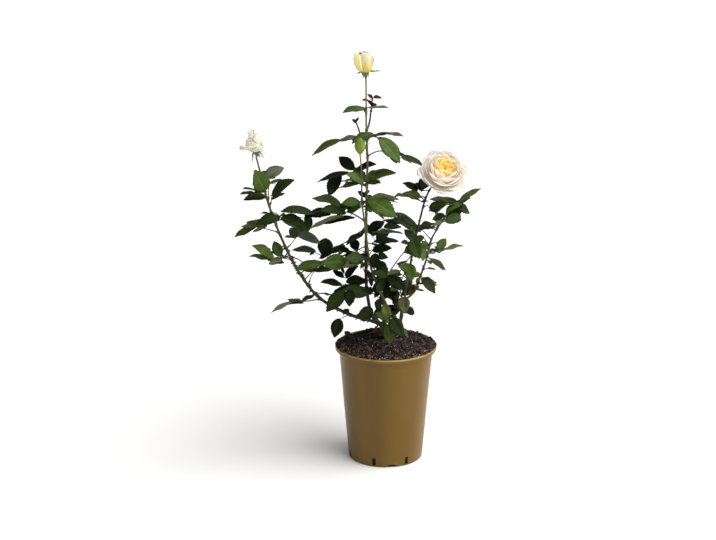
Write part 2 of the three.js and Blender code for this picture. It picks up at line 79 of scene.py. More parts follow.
# The habit of the sprays. Each row is a compound leaf: its mass, its limb and place on it, the way its rachis
# runs from there, then its leaflets (start, length, bearing, rise, width, roll, tone) and the seeds of the
# leaflets that the rule adds. A spray has one tone, which the rule shifts a step now and then. The tones are
# lighter and darker copies of one green, partly the leaves' own colour and partly painted light and painted shade.
SPRAYS = (
    ("leaves_left_top", "cane_left_upper", 0.775, ((5, -32, 11),),
     ((2.1, -30.9, 11, 63.2, -114, 50, 35.4, -125, "b"),),
     (174, 47)),
    ("leaves_left_top", "cane_left_upper", 0.867, ((5, 9, 1),),
     ((4.7, 8.6, 1, 42.2, 24, 20, 23.7, 47, "g"), (11.1, 8.6, -11.5, 35.8, 38, 1, 20, -38, "g")),
     (1004, 1033)),
    ("leaves_left_top", "cane_left_upper", 0.683, ((4, -7, 16), (3, -11, 27)),
     ((4.5, -10.2, 25.6, 56.8, -18, 36, 31.8, 39, "d"), (4.7, -6.9, 16.1, 32.3, 36, 17, 18.1, 1, "d")),
     ()),
    ("leaves_left_tip", "cane_left_upper", 0.733, ((-6, -26, 16), (-16, -44, 23)),
     ((-14.2, -42.5, 25.9, 35.6, -140, 17, 20, -10, "d"), (-16.1, -43.8, 22, 34.8, -153, 5, 19.5, -10, "d"), (-0.5, -10.7, 8.3, 44.7, -162, -4, 25.1, -24, "d")),
     ()),
    ("leaves_left_tip", "cane_left_upper", 0.650, ((-3, -7, 1),),
     ((-3.2, -6.5, 0.3, 18.4, -154, 3, 10.3, -8, "d"),),
     ()),
    ("leaves_left_outer", "cane_left_upper", 0.500, ((-8, 3, 6), (-20, 7, 9), (-33, 10, 11), (-47, 13, 13)),
     ((-46.9, 12.7, 12.3, 48.2, 169, -26, 27, -26, "b"), (-34.3, 9.9, 9.5, 27.1, -132, 0, 15.2, 51, "b"), (-44, 12.2, 13.1, 30.4, 138, 10, 17, -20, "r"), (-46.9, 12.7, 11.9, 30.6, -157, 9, 17.1, -12, "b")),
     (5082,)),
    ("leaves_left_middle", "cane_left_upper", 0.650, ((10, -13, 1), (18, -25, -2)),
     ((18.1, -24.7, -3.4, 47.2, -167, -14, 26.4, -35, "d"), (18.5, -24.7, -4.8, 60.6, 15, -27, 34, 39, "d"), (15.5, -22, -2.5, 21.6, -53, 22, 12.1, 36, "d")),
     ()),
    ("leaves_left_inner", "cane_left_upper", 0.408, ((8, 13, 6), (18, 35, 14)),
     ((19.2, 35.1, 17.5, 49.9, 12, -22, 28, 32, "g"), (17.3, 34.3, 13.3, 27.3, -143, 11, 15.3, -14, "g"), (23.1, 35.1, 15.1, 32.6, 129, 19, 18.7, -49, "g")),
     (7215, 7248)),
    ("leaves_left_knee", "cane_left_upper", 0.383, ((-5, -22, 0), (-14, -34, -1), (-25, -46, 1)),
     ((-24.5, -45.9, 0, 51.2, -166, 35, 28.7, -31, "m"), (-24.9, -45.9, -1, 49.1, 168, 5, 27.5, -6, "m"), (-13.3, -32.1, 0.4, 32.8, 137, 58, 20.7, -42, "m"), (-9.6, -30.7, -6.5, 32.6, -142, -1, 18.3, 69, "m")),
     (8234,)),
    ("leaves_left_knee", "cane_left_upper", 0.325, ((-9, -21, 10), (-17, -34, 15)),
     ((-41.4, -34.2, 9.6, 32.1, 31, -14, 18, 30, "d"), (-33.8, -34.2, 12.5, 19.8, -126, 7, 11.1, -29, "d")),
     (9106,)),
    ("leaves_fan_left", "cane_left_upper", 0.350, ((13, -6, -1), (24, -12, -6), (43, -19, -7), (61, -25, -3)),
     ((59.8, -24.8, -6.3, 51.8, -166, -10, 29, -22, "b"), (37.6, -17, -7.5, 30.1, 42, -1, 16.9, 4, "b"), (62.7, -25.2, -4.2, 52.6, 30, -2, 31.5, 73, "b")),
     (10102, 10128)),
    ("leaves_fan_left", "cane_left_upper", 0.142, ((5, -6, 20), (12, -11, 33)),
     ((11.8, -10.8, 31.9, 42.2, 19, 3, 23.6, 12, "b"), (10.3, -10.3, 31.2, 27.6, 139, 2, 15.4, -17, "b")),
     ()),
    ("leaves_left_low", "cane_left_upper", 0.033, ((-20, -23, 3), (-33, -37, 6), (-54, -57, 12)),
     ((-34, -37.6, 6.3, 35.9, 47, 10, 20.1, -5, "d"), (-33.1, -36.8, 4.1, 32.4, -165, 15, 18.2, 40, "p"), (-54.3, -56.8, 10.4, 44.3, -160, -21, 24.8, 44, "d"), (-32.2, -36, 2.8, 29.5, -137, 8, 16.5, -5, "d")),
     (12257,)),
    ("leaves_low_left", "cane_left_upper", 0.075, ((19, -19, 8), (34, -32, 9), (56, -49, 25)),
     ((58.6, -49.4, 22.5, 54.4, -156, -43, 30.5, -37, "k"), (67.2, -49.4, 24.5, 33.2, -94, -60, 21.7, -5, "k"), (57.7, -49.4, 26.5, 47.6, 18, -21, 26.7, 64, "k")),
     (13174, 13072)),
    ("leaves_low_left", "cane_centre", 0.183, ((-23, -12, 8), (-44, -20, 13)),
     ((-46.9, -19.8, 12, 45.7, -162, 12, 25.6, -19, "k"), (-40.1, -18.6, 16.3, 49.4, 29, -4, 27.7, 29, "k")),
     (14133, 14239)),
    ("leaves_fan_right", "cane_centre", 0.208, ((-28, 10, 2), (-43, 14, 4)),
     ((-43.9, 13.5, 3.6, 27.3, 156, 28, 15.3, -24, "k"), (-40.6, 12.9, 4.4, 40.1, -29, 44, 22.4, 50, "k"), (-44.5, 13.5, 12.4, 23.8, 120, 39, 13.3, 27, "k"), (-39.6, 12.8, 6.5, 25.7, 71, 35, 14.4, -43, "k")),
     ()),
    ("leaves_centre_left", "shoot_centre", 0.650, ((-22, 1, 13), (-39, 1, 17), (-63, 2, 18), (-95, 3, 16)),
     ((-96.4, 2.8, 13.3, 64.1, -165, 7, 35.9, -15, "k"), (-59.4, 1.9, 13.9, 57.9, 166, -8, 32.4, -13, "k"), (-38.6, 1.3, 6.5, 69.8, -168, -16, 39.1, 33, "k"), (-27.2, 1, 2.6, 67.5, 170, -12, 37.8, -8, "k"), (-34.8, 1.3, 13.7, 54.4, -156, 11, 30.5, -25, "k"), (-105.2, 2.8, -17.5, 31, 117, 69, 17.3, -10, "k"), (-63.2, 2, 10.2, 55.1, 169, -9, 30.9, -4, "k"), (-17.7, 0.5, 4.7, 47.4, 170, -12, 26.6, -7, "k")),
     ()),
    ("leaves_centre_left", "shoot_centre", 0.742, ((-19, 17, -2), (-41, 29, -6)),
     ((-41.5, 29.5, -8.6, 58.2, 164, 9, 32.6, -14, "m"), (-40.5, 29.5, -7.8, 30.1, -143, -6, 16.9, -48, "m"), (-4.3, 3.9, 3.3, 36.3, -164, -2, 20.3, -52, "m"), (-2.4, 2.1, -5, 34.8, 146, -22, 19.5, -53, "m")),
     (17207,)),
    ("leaves_inner_left", "cane_centre", 0.417, ((-16, 18, -13), (-37, 36, -34), (-61, 53, -53), (-83, 68, -74)),
     ((-4.9, 9.2, -12.5, 40.6, -167, -30, 22.8, -15, "k"), (-25.5, 28.7, -29.5, 30.4, -70, -35, 19.7, 24, "k"), (-40.4, 41.4, -47.1, 51.3, 151, -29, 28.7, -26, "k"), (-41.4, 43.2, -51.9, 22.1, -131, -18, 12.4, 90, "k"), (-83.1, 68, -74.4, 48.8, 88, 35, 31.5, 4, "k"), (-99.6, 68, -65.2, 51.3, 166, 1, 28.7, -12, "k"), (-103.6, 68, -66.1, 12.5, -138, -19, 7, -13, "k"), (-63.5, 55.9, -59.6, 36.7, 162, -30, 20.6, -37, "k")),
     ()),
    ("leaves_fan_right", "cane_centre", 0.350, ((-16, -12, -4), (-31, -20, -6)),
     ((-31.2, -20.2, -7.4, 25.3, 156, 14, 14.2, -28, "k"), (-25.4, -17.2, -6.9, 25.3, 143, -39, 14.2, -68, "k")),
     ()),
    ("leaves_fan_right", "shoot_centre", 0.433, ((-7, -14, 6), (-15, -23, 10)),
     ((-14, -21.9, 9.5, 39.8, -142, 6, 23.6, -74, "d"), (-13, -19.8, 3, 28.6, -150, -8, 16, -37, "d"), (-3.4, -3.4, -7.6, 18.4, -149, -32, 10.3, -19, "d")),
     (20098, 20104)),
    ("leaves_upper_left", "cane_centre", 0.617, ((-22, 23, 6), (-45, 41, -2)),
     ((-24.7, 24.8, 11.2, 41, 152, 33, 23, -54, "k"), (-20.6, 23.4, 12.4, 46.5, -30, 19, 26, 29, "k"), (-33.3, 31.9, 2.5, 69.5, 170, -17, 38.9, -7, "k"), (-49.4, 40.6, -3.1, 55.8, 146, -55, 31.2, -78, "k")),
     (21079,)),
    ("leaves_upper_left", "shoot_centre", 0.850, ((-7, -5, 8), (-22, -10, 14)),
     ((4.2, 0, 3.9, 41.6, -157, 29, 23.3, -48, "m"), (-5.2, -2.8, 3.4, 35.7, -160, -9, 20, -14, "m"), (-22, -10.1, 13.4, 16.9, -122, -13, 9.5, -1, "m")),
     ()),
    ("leaves_upper_centre", "cane_centre", 0.592, ((1, -33, 16),),
     ((-0.1, -32.6, 18.6, 61.2, -22, 16, 34.3, 22, "b"), (-1.9, -15.6, 8.2, 39.6, -45, 7, 22.2, 21, "b"), (0.8, -32.6, 25.4, 29.5, -48, 0, 17.7, 72, "b")),
     ()),
    ("leaves_upper_centre", "cane_centre", 0.625, ((3, 34, -4),),
     ((3.6, 34.4, -3.9, 48.7, 32, 4, 27.3, -1, "k"),),
     (24101, 24096)),
    ("leaves_upper_centre", "cane_centre", 0.542, ((-1, 11, -1),),
     ((-2.1, 6.6, -1.8, 20.4, 152, 32, 11.4, -33, "k"), (0.9, 7.9, -0.5, 19.7, 48, -16, 11.1, 51, "k"), (-3, 10.7, -0.8, 20.4, 61, 27, 11.5, -8, "k")),
     ()),
    ("leaves_front", "shoot_centre", 0.742, ((10, -43, 16),),
     ((10.5, -42.5, 20.2, 62.1, -15, -30, 34.8, 63, "b"), (11.5, -42.5, 18.3, 57.5, -10, 4, 32.2, -42, "b"), (4.2, -7, -1.8, 22.8, 33, -37, 12.8, 67, "b")),
     (26252, 26052)),
    ("leaves_centre_right", "cane_right_shoot", 0.583, ((-10, -23, 16), (-21, -44, 33)),
     ((-22, -40.8, 28.3, 69.5, -158, 25, 38.9, -28, "d"), (-35.8, -44, 40.3, 48.1, 158, 28, 26.9, -3, "d"), (-22.3, -44, 37.1, 25.2, 34, 11, 14.1, 40, "d"), (-23.2, -44, 33.7, 35.8, -31, 12, 20, 8, "d"), (-22.2, -42.9, 31.1, 29.8, 143, -7, 16.7, -12, "d")),
     ()),
    ("leaves_centre_back", "cane_centre", 0.367, ((10, 41, -15), (19, 73, -17)),
     ((16.6, 60, -17.7, 52.6, 20, -2, 29.4, 14, "k"), (12.3, 70.9, -8.3, 26.8, 57, 12, 15, 2, "k")),
     (28039, 28033)),
    ("leaves_centre_back", "shoot_centre", 0.475, ((9, 13, -1),),
     ((8.7, 11.6, -1.8, 39.8, -18, 11, 22.3, 40, "k"),),
     ()),
    ("leaves_centre_back", "cane_centre", 0.408, ((5, 18, -2), (12, 36, -7)),
     ((4.9, 17.2, -2.1, 36.1, 21, 21, 20.2, 55, "k"), (9.9, 31.7, -9.8, 67.4, 19, -7, 37.7, -25, "k"), (35.5, 36.3, -2.9, 43.9, 36, -5, 24.6, 19, "k"), (1.8, 1.6, -1.8, 21.5, 45, -24, 12.1, 45, "k")),
     (30235,)),
    ("leaves_centre_low", "shoot_centre", 0.408, ((8, -7, 11), (15, -12, 18)),
     ((11, -11.8, 22, 30.9, -104, -66, 18.7, -13, "d"), (16.7, -12.1, 19.1, 25.3, -45, -2, 14.8, 67, "d"), (15, -6.1, 1.6, 33.8, -50, -22, 21.7, 50, "d")),
     (31048, 31022)),
    ("leaves_right_inner", "shoot_centre", 0.267, ((13, -8, 12), (25, -17, 35), (39, -26, 59), (50, -32, 75), (63, -39, 95)),
     ((66.6, -38.9, 100.1, 42.8, -70, -38, 28.6, 25, "d"), (66.8, -37.5, 86, 27.1, -132, -11, 16.7, -57, "d"), (68.5, -38.9, 98.2, 31.1, 138, 40, 17.4, -25, "d"), (60.1, -38.1, 94, 23.6, -136, 13, 13.2, -39, "d")),
     (32224,)),
    ("leaves_right_inner", "cane_right_shoot", 0.467, ((-9, -33, 15), (-23, -76, 39)),
     ((-28, -76.1, 45, 26.3, -47, 27, 14.8, 97, "b"), (-19.1, -50.7, 19.8, 23.6, 37, 5, 13.2, 32, "b"), (-14.6, -55, 29, 20, 54, 7, 11.2, 19, "b"), (-32.8, -76.1, 52.5, 21.2, 102, 40, 11.9, 18, "b")),
     (33003,)),
    ("leaves_right_low", "cane_right_base", 1.000, ((-7, -26, 33), (-5, -47, 58), (1, -65, 79)),
     ((14, -65.2, 83.2, 35.4, -145, 22, 19.8, -80, "b"), (8.1, -65.2, 96.1, 37.1, -79, -51, 24.6, 13, "b"), (-4.3, -45.9, 56.5, 37.4, -130, -19, 23.6, -49, "b"), (-5.7, -57.4, 72, 30.1, 156, -4, 16.9, 61, "b")),
     (34165,)),
    ("leaves_right_low", "shoot_centre", 0.292, ((8, -25, 15), (19, -44, 25)),
     ((19.8, -43.5, 22.7, 43.3, -16, -30, 24.2, 56, "k"), (21.7, -43.5, 23.4, 34.2, -162, 16, 19.2, -43, "k"), (15.2, -34.1, 13.9, 27.4, 143, -31, 15.4, -34, "k"), (18.8, -42.6, 22.4, 30.9, 16, 16, 17.3, -64, "k"), (17.1, -37.4, 15.9, 29.3, -159, -55, 16.7, -63, "k")),
     ()),
    ("leaves_right_low", "shoot_centre", 0.217, ((8, 8, 11), (16, 14, 21)),
     ((17.4, 14.1, 21.3, 33.4, -154, -35, 18.7, -28, "k"), (16.5, 13.4, 19.1, 33.2, 130, -67, 18.6, -99, "k"), (15.5, 13.3, 19.5, 37.5, 151, -4, 21, -24, "k"), (20.3, 14.1, 21.9, 27, 32, -9, 15.1, 17, "k"), (5.7, 5.7, 7.2, 31.7, 147, -47, 17.8, -54, "k")),
     ()),
    ("leaves_low_left", "cane_centre", 0.167, ((12, -9, -1), (23, -17, -7)),
     ((23.4, -17.4, -7.2, 22.7, 27, 13, 12.8, 65, "k"), (17.6, -12.6, -2.2, 23.9, 49, 28, 13.4, 10, "k"), (9.8, -7.9, -2, 17.2, 108, 43, 9.8, -20, "k"), (8.9, -7.1, -2.2, 27.3, -146, 38, 15.3, -58, "k"), (8.9, -3, 11.9, 35.5, 139, 70, 19.9, 10, "k"), (27.4, -17.4, -9.3, 29.1, 133, -62, 16.3, -88, "k"), (24.4, -17.4, -8.3, 24, 30, -48, 13.5, 73, "k"), (13.7, -9.3, 1.5, 26.6, 50, 46, 14.9, 2, "k")),
     ()),
    ("leaves_low_right", "cane_right_base", 1.000, ((-6, 26, 5), (-11, 45, 7)),
     ((-9.5, 44.8, 8.6, 35.7, 163, -17, 20, -68, "k"), (-5.8, 33.5, 7.9, 41.6, 122, -47, 23.3, -78, "k"), (-1.8, 34.4, 11.8, 34.8, 47, 19, 19.5, -9, "k")),
     (38031, 38237)),
    ("leaves_low_right", "cane_right_base", 0.950, ((1, -33, 19),),
     ((-1.7, -33.1, 22.3, 38.3, -82, -39, 25.6, 11, "o"), (5.4, 0, -16.8, 29.3, 46, -21, 16.4, 70, "d")),
     ()),
    ("leaves_low_right", "cane_right_base", 0.517, ((-1, 34, 1),),
     ((-0.9, 34.3, 4.4, 31.6, 138, -32, 17.7, -77, "g"), (0.1, 34.3, 8.5, 26.6, 128, 18, 14.9, -27, "g")),
     (40178, 40147)),
    ("leaves_right_foot", "cane_right_shoot", 0.117, ((-2, -4, 3),),
     ((-1.4, -3.9, 4, 25.6, -147, 3, 14.3, -37, "n"), (-1.2, 0, -1.7, 19.5, -148, -15, 10.9, -36, "y"), (0.8, 0, -1.1, 19.1, -25, -1, 10.7, -45, "g")),
     ()),
    ("leaves_foot_front", "shoot_centre", 0.125, ((-2, -26, 12),),
     ((-6.2, -26.2, 13.4, 29.4, -57, -60, 18.7, 33, "y"), (-11, -26.2, 14.4, 25.1, 125, -44, 14, -96, "k")),
     ()),
    ("leaves_foot_front", "shoot_centre", 0.067, ((-1, -51, 18),),
     ((2.6, 0, -13.1, 41, -156, 33, 23, -52, "b"), (-0.4, 0, -2, 17.4, -27, 5, 9.8, 36, "b")),
     ()),
    ("leaves_foot_front", "cane_right_base", 0.233, ((-7, -51, 24), (-15, -85, 42)),
     ((-15.8, -84.8, 41.5, 42.4, -46, -47, 27.6, 44, "d"), (-25.2, -77.3, 24.9, 38.7, -63, -73, 22.7, 26, "d"), (-29.2, -84.8, 36.4, 23.4, -152, -68, 13.1, -31, "d")),
     (44241,)),
    ("leaves_foot_left", "cane_centre", 0.067, ((-1, -23, 17),),
     ((0.2, -22.8, 21.3, 38.6, -145, -13, 23.6, -61, "d"), (-3.4, 0, -5.7, 27.7, 136, -20, 15.5, -34, "d")),
     ()),
    ("leaves_hanging", "cane_left_lower", 0.558, ((-8, -17, 3), (-17, -30, 2)),
     ((-20.7, -30.3, 2.4, 38.7, -121, -60, 24.6, -30, "k"), (-14, -21.2, 8.2, 20.3, 55, 16, 11.4, 30, "k")),
     ()),
    ("leaves_hanging", "cane_left_lower", 0.100, ((-6, 14, -18), (-22, 27, -31), (-40, 39, -39), (-53, 47, -43)),
     ((-53.3, 46.7, -43.9, 19.2, 144, 27, 11.8, -55, "d"), (-56.9, 46.7, -44.8, 16.7, 166, -8, 9.3, -40, "d")),
     ()),
    ("leaves_under_bloom", "cane_right_bloom", 0.975, ((-10, 15, -4), (-21, 27, -4)),
     ((-21.8, 26.6, -8.5, 37.5, 142, 18, 21, -14, "k"), (-14.3, 19.1, -7.5, 30.5, 110, 25, 17.1, 9, "k")),
     (48094, 48038)),
    ("leaves_under_bloom", "cane_right_bloom", 0.875, ((-13, -36, 18),),
     ((-12.2, -36.4, 18.8, 30.6, -152, 15, 17.7, -83, "d"), (-31.4, -36.4, 16.1, 32.5, -145, 12, 18.2, -14, "d")),
     (49083,)),
    ("leaves_under_bloom", "cane_right_bloom", 0.867, ((-8, -21, 5),),
     ((-7.7, -21.1, 3, 18.1, 33, 0, 10.2, 8, "d"), (-8.7, -21.1, 6.4, 20.1, -141, 20, 11.2, -31, "d")),
     ()),
    ("leaves_right_top", "cane_right_shoot", 0.958, ((5, -14, 8),),
     ((7.7, -14.2, 10.6, 50.8, 16, 29, 28.5, 3, "b"), (11.6, -14.2, 9, 42, -145, -24, 23.5, -4, "b")),
     (51161,)),
    ("leaves_right_top", "cane_right_shoot", 0.983, ((-5, -9, 5), (-24, -30, 14)),
     ((-23.9, -30.2, 13, 35.1, -160, 11, 19.7, 43, "d"), (-24, -30.4, 14.3, 21.3, 138, 8, 11.9, -19, "d"), (1.3, 0, 0.9, 27.9, 154, 9, 15.6, -26, "d")),
     (52029, 52157)),
    ("leaves_right_top", "cane_right_shoot", 0.933, ((8, 22, -2),),
     ((7.5, 22, -1.8, 38.2, 29, -31, 21.4, 52, "d"),),
     (53067, 53177)),
    ("leaves_right_middle", "cane_right_bloom", 0.808, ((6, -6, 5), (10, -10, 7)),
     ((11.8, -9.2, -0.9, 36.1, -29, 23, 20.7, 86, "d"),),
     ()),
    ("leaves_right_middle", "cane_right_shoot", 0.808, ((3, 42, -8),),
     ((4.6, 42.1, -5.7, 33.2, 144, -21, 18.6, -45, "m"), (1.9, 0, -6.8, 38.6, 31, 11, 22.7, 66, "m")),
     (55015, 55120)),
    ("leaves_right_bend", "cane_right_shoot", 0.750, ((0, -11, 6),),
     ((1.4, -10.7, 5, 26.6, -137, -6, 14.9, 56, "g"), (-37.1, 0, -2.9, 23.9, 36, -4, 13.4, 58, "g")),
     (56202,)),
    ("leaves_right_outer", "cane_right_shoot", 0.542, ((8, 21, -3), (16, 35, -6)),
     ((15.7, 30.7, -16.5, 29, 42, 31, 17.7, 50, "b"),),
     (57156, 57167)),
    ("leaves_right_outer", "cane_right_shoot", 0.492, ((12, 22, -8), (26, 43, -17)),
     ((26.6, 43.1, -15.9, 49.6, 24, 7, 27.7, -38, "d"), (5, 9.7, -3.5, 28.3, 38, -22, 15.8, 23, "d")),
     (58035, 58125)),
    ("leaves_right_tail", "cane_right_shoot", 0.433, ((2, -39, 8),),
     ((3.1, -38.9, 4.2, 39.2, -31, -25, 21.9, -60, "g"), (0.6, -38.9, 2.8, 18.2, 65, -43, 10.2, 2, "g")),
     (59019, 59042)),
    ("leaves_right_tail", "cane_right_shoot", 0.308, ((9, -12, 5),),
     ((8.4, -10.3, 3.9, 20.7, -36, 7, 11.6, -39, "g"),),
     ()),
    ("leaves_right_foot", "cane_right_shoot", 0.242, ((1, -41, 11),),
     ((0.9, -40.8, 9.3, 41.3, -39, -39, 23.1, 20, "d"), (5.2, -40.8, 6.7, 35.7, 31, -30, 20, 34, "d")),
     (61101,)),
    ("leaves_top", "cane_centre", 0.883, ((-1, -14, 5),),
     ((-0.4, -4.6, 0.6, 47.5, -160, -5, 26.6, -15, "m"), (2.1, -9.9, 4.3, 45, 24, -4, 25.2, -23, "u")),
     ()),
    ("leaves_high_left", "cane_centre", 0.758, ((6, -35, 16), (11, -54, 25)),
     ((11.1, -54.3, 28, 47.1, -153, -20, 26.4, -13, "b"), (-13.2, 0, 9.8, 46.3, 162, -15, 25.9, 30, "u"), (-49.7, 0, 2.4, 66.6, 170, -29, 37.3, -16, "b")),
     (63033, 63062)),
    ("leaves_upper_right", "cane_centre", 0.767, ((12, -37, 14), (22, -61, 15)),
     ((23.7, -60.6, 15.1, 60.8, -25, -46, 34, 31, "b"), (18, -46.4, 21, 55.9, 19, -9, 31.3, -22, "u")),
     (64216, 64056)),
    ("leaves_upper_right", "cane_centre", 0.700, ((10, -9, 9), (26, -18, 15), (61, -36, 11)),
     ((61.5, -36.1, 10.4, 50.8, -22, -21, 28.5, 3, "d"), (64.3, -36.1, 7.5, 28.3, 36, -33, 15.8, -24, "u")),
     (65085, 65097)),
    ("leaves_young", "cane_centre", 0.767, ((-8, -13, 10), (-13, -20, 16), (-17, -30, 30), (-21, -39, 41)),
     ((-19.5, -37.1, 39.4, 12.3, -156, 36, 6.9, -82, "t"), (-19.9, -38.1, 40.8, 11.3, 53, 48, 6.3, 4, "t")),
     ()),
    ("leaves_young", "cane_centre", 0.800, ((4, 6, 8), (7, 12, 20), (8, 17, 30), (9, 19, 35), (10, 21, 41), (10, 24, 47), (12, 28, 57)),
     ((12.7, 28, 58.2, 19.2, 25, -4, 10.8, 32, "t"), (11.6, 27.6, 56.5, 15, -158, 44, 8.4, -57, "t"), (9.2, 23.3, 45.6, 12.2, 136, 45, 6.8, -27, "t"), (9.6, 23.3, 45.6, 12.4, 29, 0, 6.9, 53, "t"), (9.6, 22.6, 43.8, 10.8, -57, 48, 6.1, 119, "t"), (5, 26.2, 54, 15.7, -149, 5, 8.8, -30, "d")),
     ()),
)

# Sprays that the rule grows whole: mass, limb, place on it, the point it grows towards, seed, leaflets kept.
BACK_SPRAYS = (
    ("leaves_left_top", "cane_left_upper", 0.709, (-214, -21, 576), 50505, (3, 4)),
    ("leaves_left_top", "cane_left_upper", 0.801, (-228, -24, 577), 50662, (0, 4)),
    ("leaves_left_middle", "cane_left_upper", 0.561, (-222, 29, 477), 53014, (0, 1, 4)),
    ("leaves_left_middle", "cane_left_upper", 0.596, (-177, 71, 474), 53111, (0, 2, 4)),
    ("leaves_left_knee", "cane_left_upper", 0.337, (-236, -64, 446), 54725, (0, 2)),
    ("leaves_left_knee", "cane_left_upper", 0.43, (-234, -47, 426), 54865, (0, 3)),
    ("leaves_fan_left", "cane_left_upper", 0.186, (-129, -2, 401), 56057, (1, 3, 4)),
    ("leaves_fan_left", "cane_left_upper", 0.232, (-118, 12, 408), 56064, (0, 1, 3, 4)),
    ("leaves_upper_left", "cane_centre", 0.582, (-78, 101, 543), 59295, (0, 1, 2, 4)),
    ("leaves_upper_left", "cane_centre", 0.6, (-90, 101, 548), 59522, (0, 4)),
    ("leaves_centre_left", "shoot_centre", 0.755, (-81, -5, 515), 60001, (0, 1, 3, 4)),
    ("leaves_centre_left", "shoot_centre", 0.757, (-120, 13, 503), 60047, (0, 2, 4)),
    ("leaves_inner_left", "cane_centre", 0.271, (-85, 99, 411), 61005, (0, 2, 3, 4)),
    ("leaves_inner_left", "cane_centre", 0.238, (-81, 105, 406), 61089, (0, 1, 4)),
    ("leaves_fan_right", "shoot_centre", 0.423, (-67, -15, 410), 62017, (0, 1, 2)),
    ("leaves_fan_right", "shoot_centre", 0.425, (-68, -9, 404), 62244, (1, 3, 4)),
    ("leaves_low_left", "cane_left_lower", 0.831, (-97, -35, 353), 63026, (0, 1, 2)),
    ("leaves_low_left", "cane_left_lower", 0.921, (-88, -28, 348), 63292, (1, 3, 4)),
    ("leaves_foot_left", "cane_centre", 0.03, (-36, 86, 268), 65002, (1, 2, 3, 4)),
    ("leaves_foot_left", "cane_centre", 0.03, (-42, 77, 282), 65115, (0, 2, 4)),
    ("leaves_top", "cane_centre", 0.873, (-49, 59, 697), 67504, (0, 2)),
    ("leaves_top", "cane_centre", 0.864, (-58, 52, 698), 67730, (1, 4)),
    ("leaves_young", "cane_centre", 0.694, (-43, 86, 655), 68559, (1, 4)),
    ("leaves_young", "cane_centre", 0.743, (-36, 95, 654), 68786, (0, 2)),
    ("leaves_upper_centre", "cane_centre", 0.476, (-15, 132, 544), 70007, (0, 2, 3, 4)),
    ("leaves_upper_centre", "cane_centre", 0.601, (-10, 132, 555), 70559, (2, 4)),
    ("leaves_front", "shoot_centre", 0.762, (-22, -77, 528), 71074, (1, 3, 4)),
    ("leaves_front", "shoot_centre", 0.743, (-22, -56, 545), 71112, (0, 2, 4)),
    ("leaves_centre_right", "cane_right_bloom", 0.592, (30, 3, 486), 72034, (0, 1, 4)),
    ("leaves_centre_right", "cane_right_bloom", 0.536, (50, 14, 488), 72505, (0, 4)),
    ("leaves_centre_back", "cane_centre", 0.293, (1, 143, 417), 73114, (0, 3, 4)),
    ("leaves_centre_back", "cane_centre", 0.252, (7, 136, 424), 73145, (0, 2, 4)),
    ("leaves_centre_low", "shoot_centre", 0.406, (-23, -30, 407), 74446, (0, 2, 4)),
    ("leaves_centre_low", "shoot_centre", 0.32, (-19, -46, 404), 74750, (1, 3)),
    ("leaves_right_low", "cane_right_bloom", 0.179, (14, -43, 399), 76095, (0, 2, 4)),
    ("leaves_right_low", "cane_right_bloom", 0.396, (13, -27, 380), 76459, (2, 3, 4)),
    ("leaves_low_right", "cane_right_base", 0.722, (7, 89, 300), 77507, (0, 4)),
    ("leaves_low_right", "cane_right_base", 0.734, (19, 88, 296), 77514, (1, 4)),
    ("leaves_under_bloom", "cane_right_bloom", 0.9, (32, 6, 539), 78040, (0, 3, 4)),
    ("leaves_right_top", "cane_right_shoot", 0.987, (128, 52, 511), 79710, (1, 4)),
    ("leaves_right_top", "cane_right_shoot", 0.892, (150, 56, 519), 79810, (1, 3)),
    ("leaves_right_middle", "cane_right_shoot", 0.698, (125, 126, 469), 80526, (0, 4)),
    ("leaves_right_middle", "cane_right_shoot", 0.891, (119, 104, 477), 80726, (0, 4)),
    ("leaves_right_bend", "cane_right_shoot", 0.513, (65, 57, 448), 81317, (1, 3, 4)),
    ("leaves_right_bend", "cane_right_shoot", 0.683, (70, 60, 449), 81428, (0, 1, 2)),
    ("leaves_right_outer", "cane_right_shoot", 0.461, (112, 111, 406), 82565, (1, 4)),
    ("leaves_right_foot", "cane_right_bloom", 0.117, (83, -8, 363), 84755, (1, 3)),
)
FINE = 120


def along(values, t):
    n = len(values) - 1
    u = min(max(t, 0.0), 1.0) * n
    i = min(int(u), n - 1)
    f = u - i
    f = f * f * (3 - 2 * f)
    return values[i] * (1 - f) + values[i + 1] * f


def heading(limb, t):
    a, b = math.radians(along(limb[3], t)), math.radians(along(limb[4], t))
    return np.array((math.sin(a) * math.cos(b), math.sin(b), math.cos(a) * math.cos(b)))


def grow_line(limb):
    p = np.array(limb[0], float)
    pts = [p.copy()]
    for i in range(FINE):
        p = p + heading(limb, (i + 0.5) / FINE) * limb[1] / FINE
        pts.append(p.copy())
    return np.array(pts)


LINES = {k: grow_line(v) for k, v in LIMBS.items()}


def on_limb(limb, t):
    pts = LINES[limb]
    u = min(max(t, 0.0), 1.0) * FINE
    i = min(int(u), FINE - 1)
    return pts[i] + (pts[i + 1] - pts[i]) * (u - i)


def unit(v):
    v = np.asarray(v, float)
    return v / max(1e-9, math.sqrt(float(v @ v)))


def way(bearing, rise):
    b, r = math.radians(bearing), math.radians(rise)
    return np.array((math.cos(r) * math.cos(b), math.cos(r) * math.sin(b), math.sin(r)))


def blade_frame(bearing, rise, turn):
    """Direction of the blade, its upper face's normal and its width, for a roll about its own length."""
    a = way(bearing, rise)
    ref = np.array((0, 0, 1.0)) - a[2] * a
    ref = unit(ref) if float(ref @ ref) > 1e-3 else np.array((0, -1.0, 0))
    side = np.cross(a, ref)
    t = math.radians(turn)
    n = math.cos(t) * ref + math.sin(t) * side
    return a, n, np.cross(n, a)


def outline(u):
    u = np.clip(u, 0, 1)
    return np.sin(np.pi * u ** 0.80) ** 0.72 * (1 - 0.30 * u ** 4) / 0.985


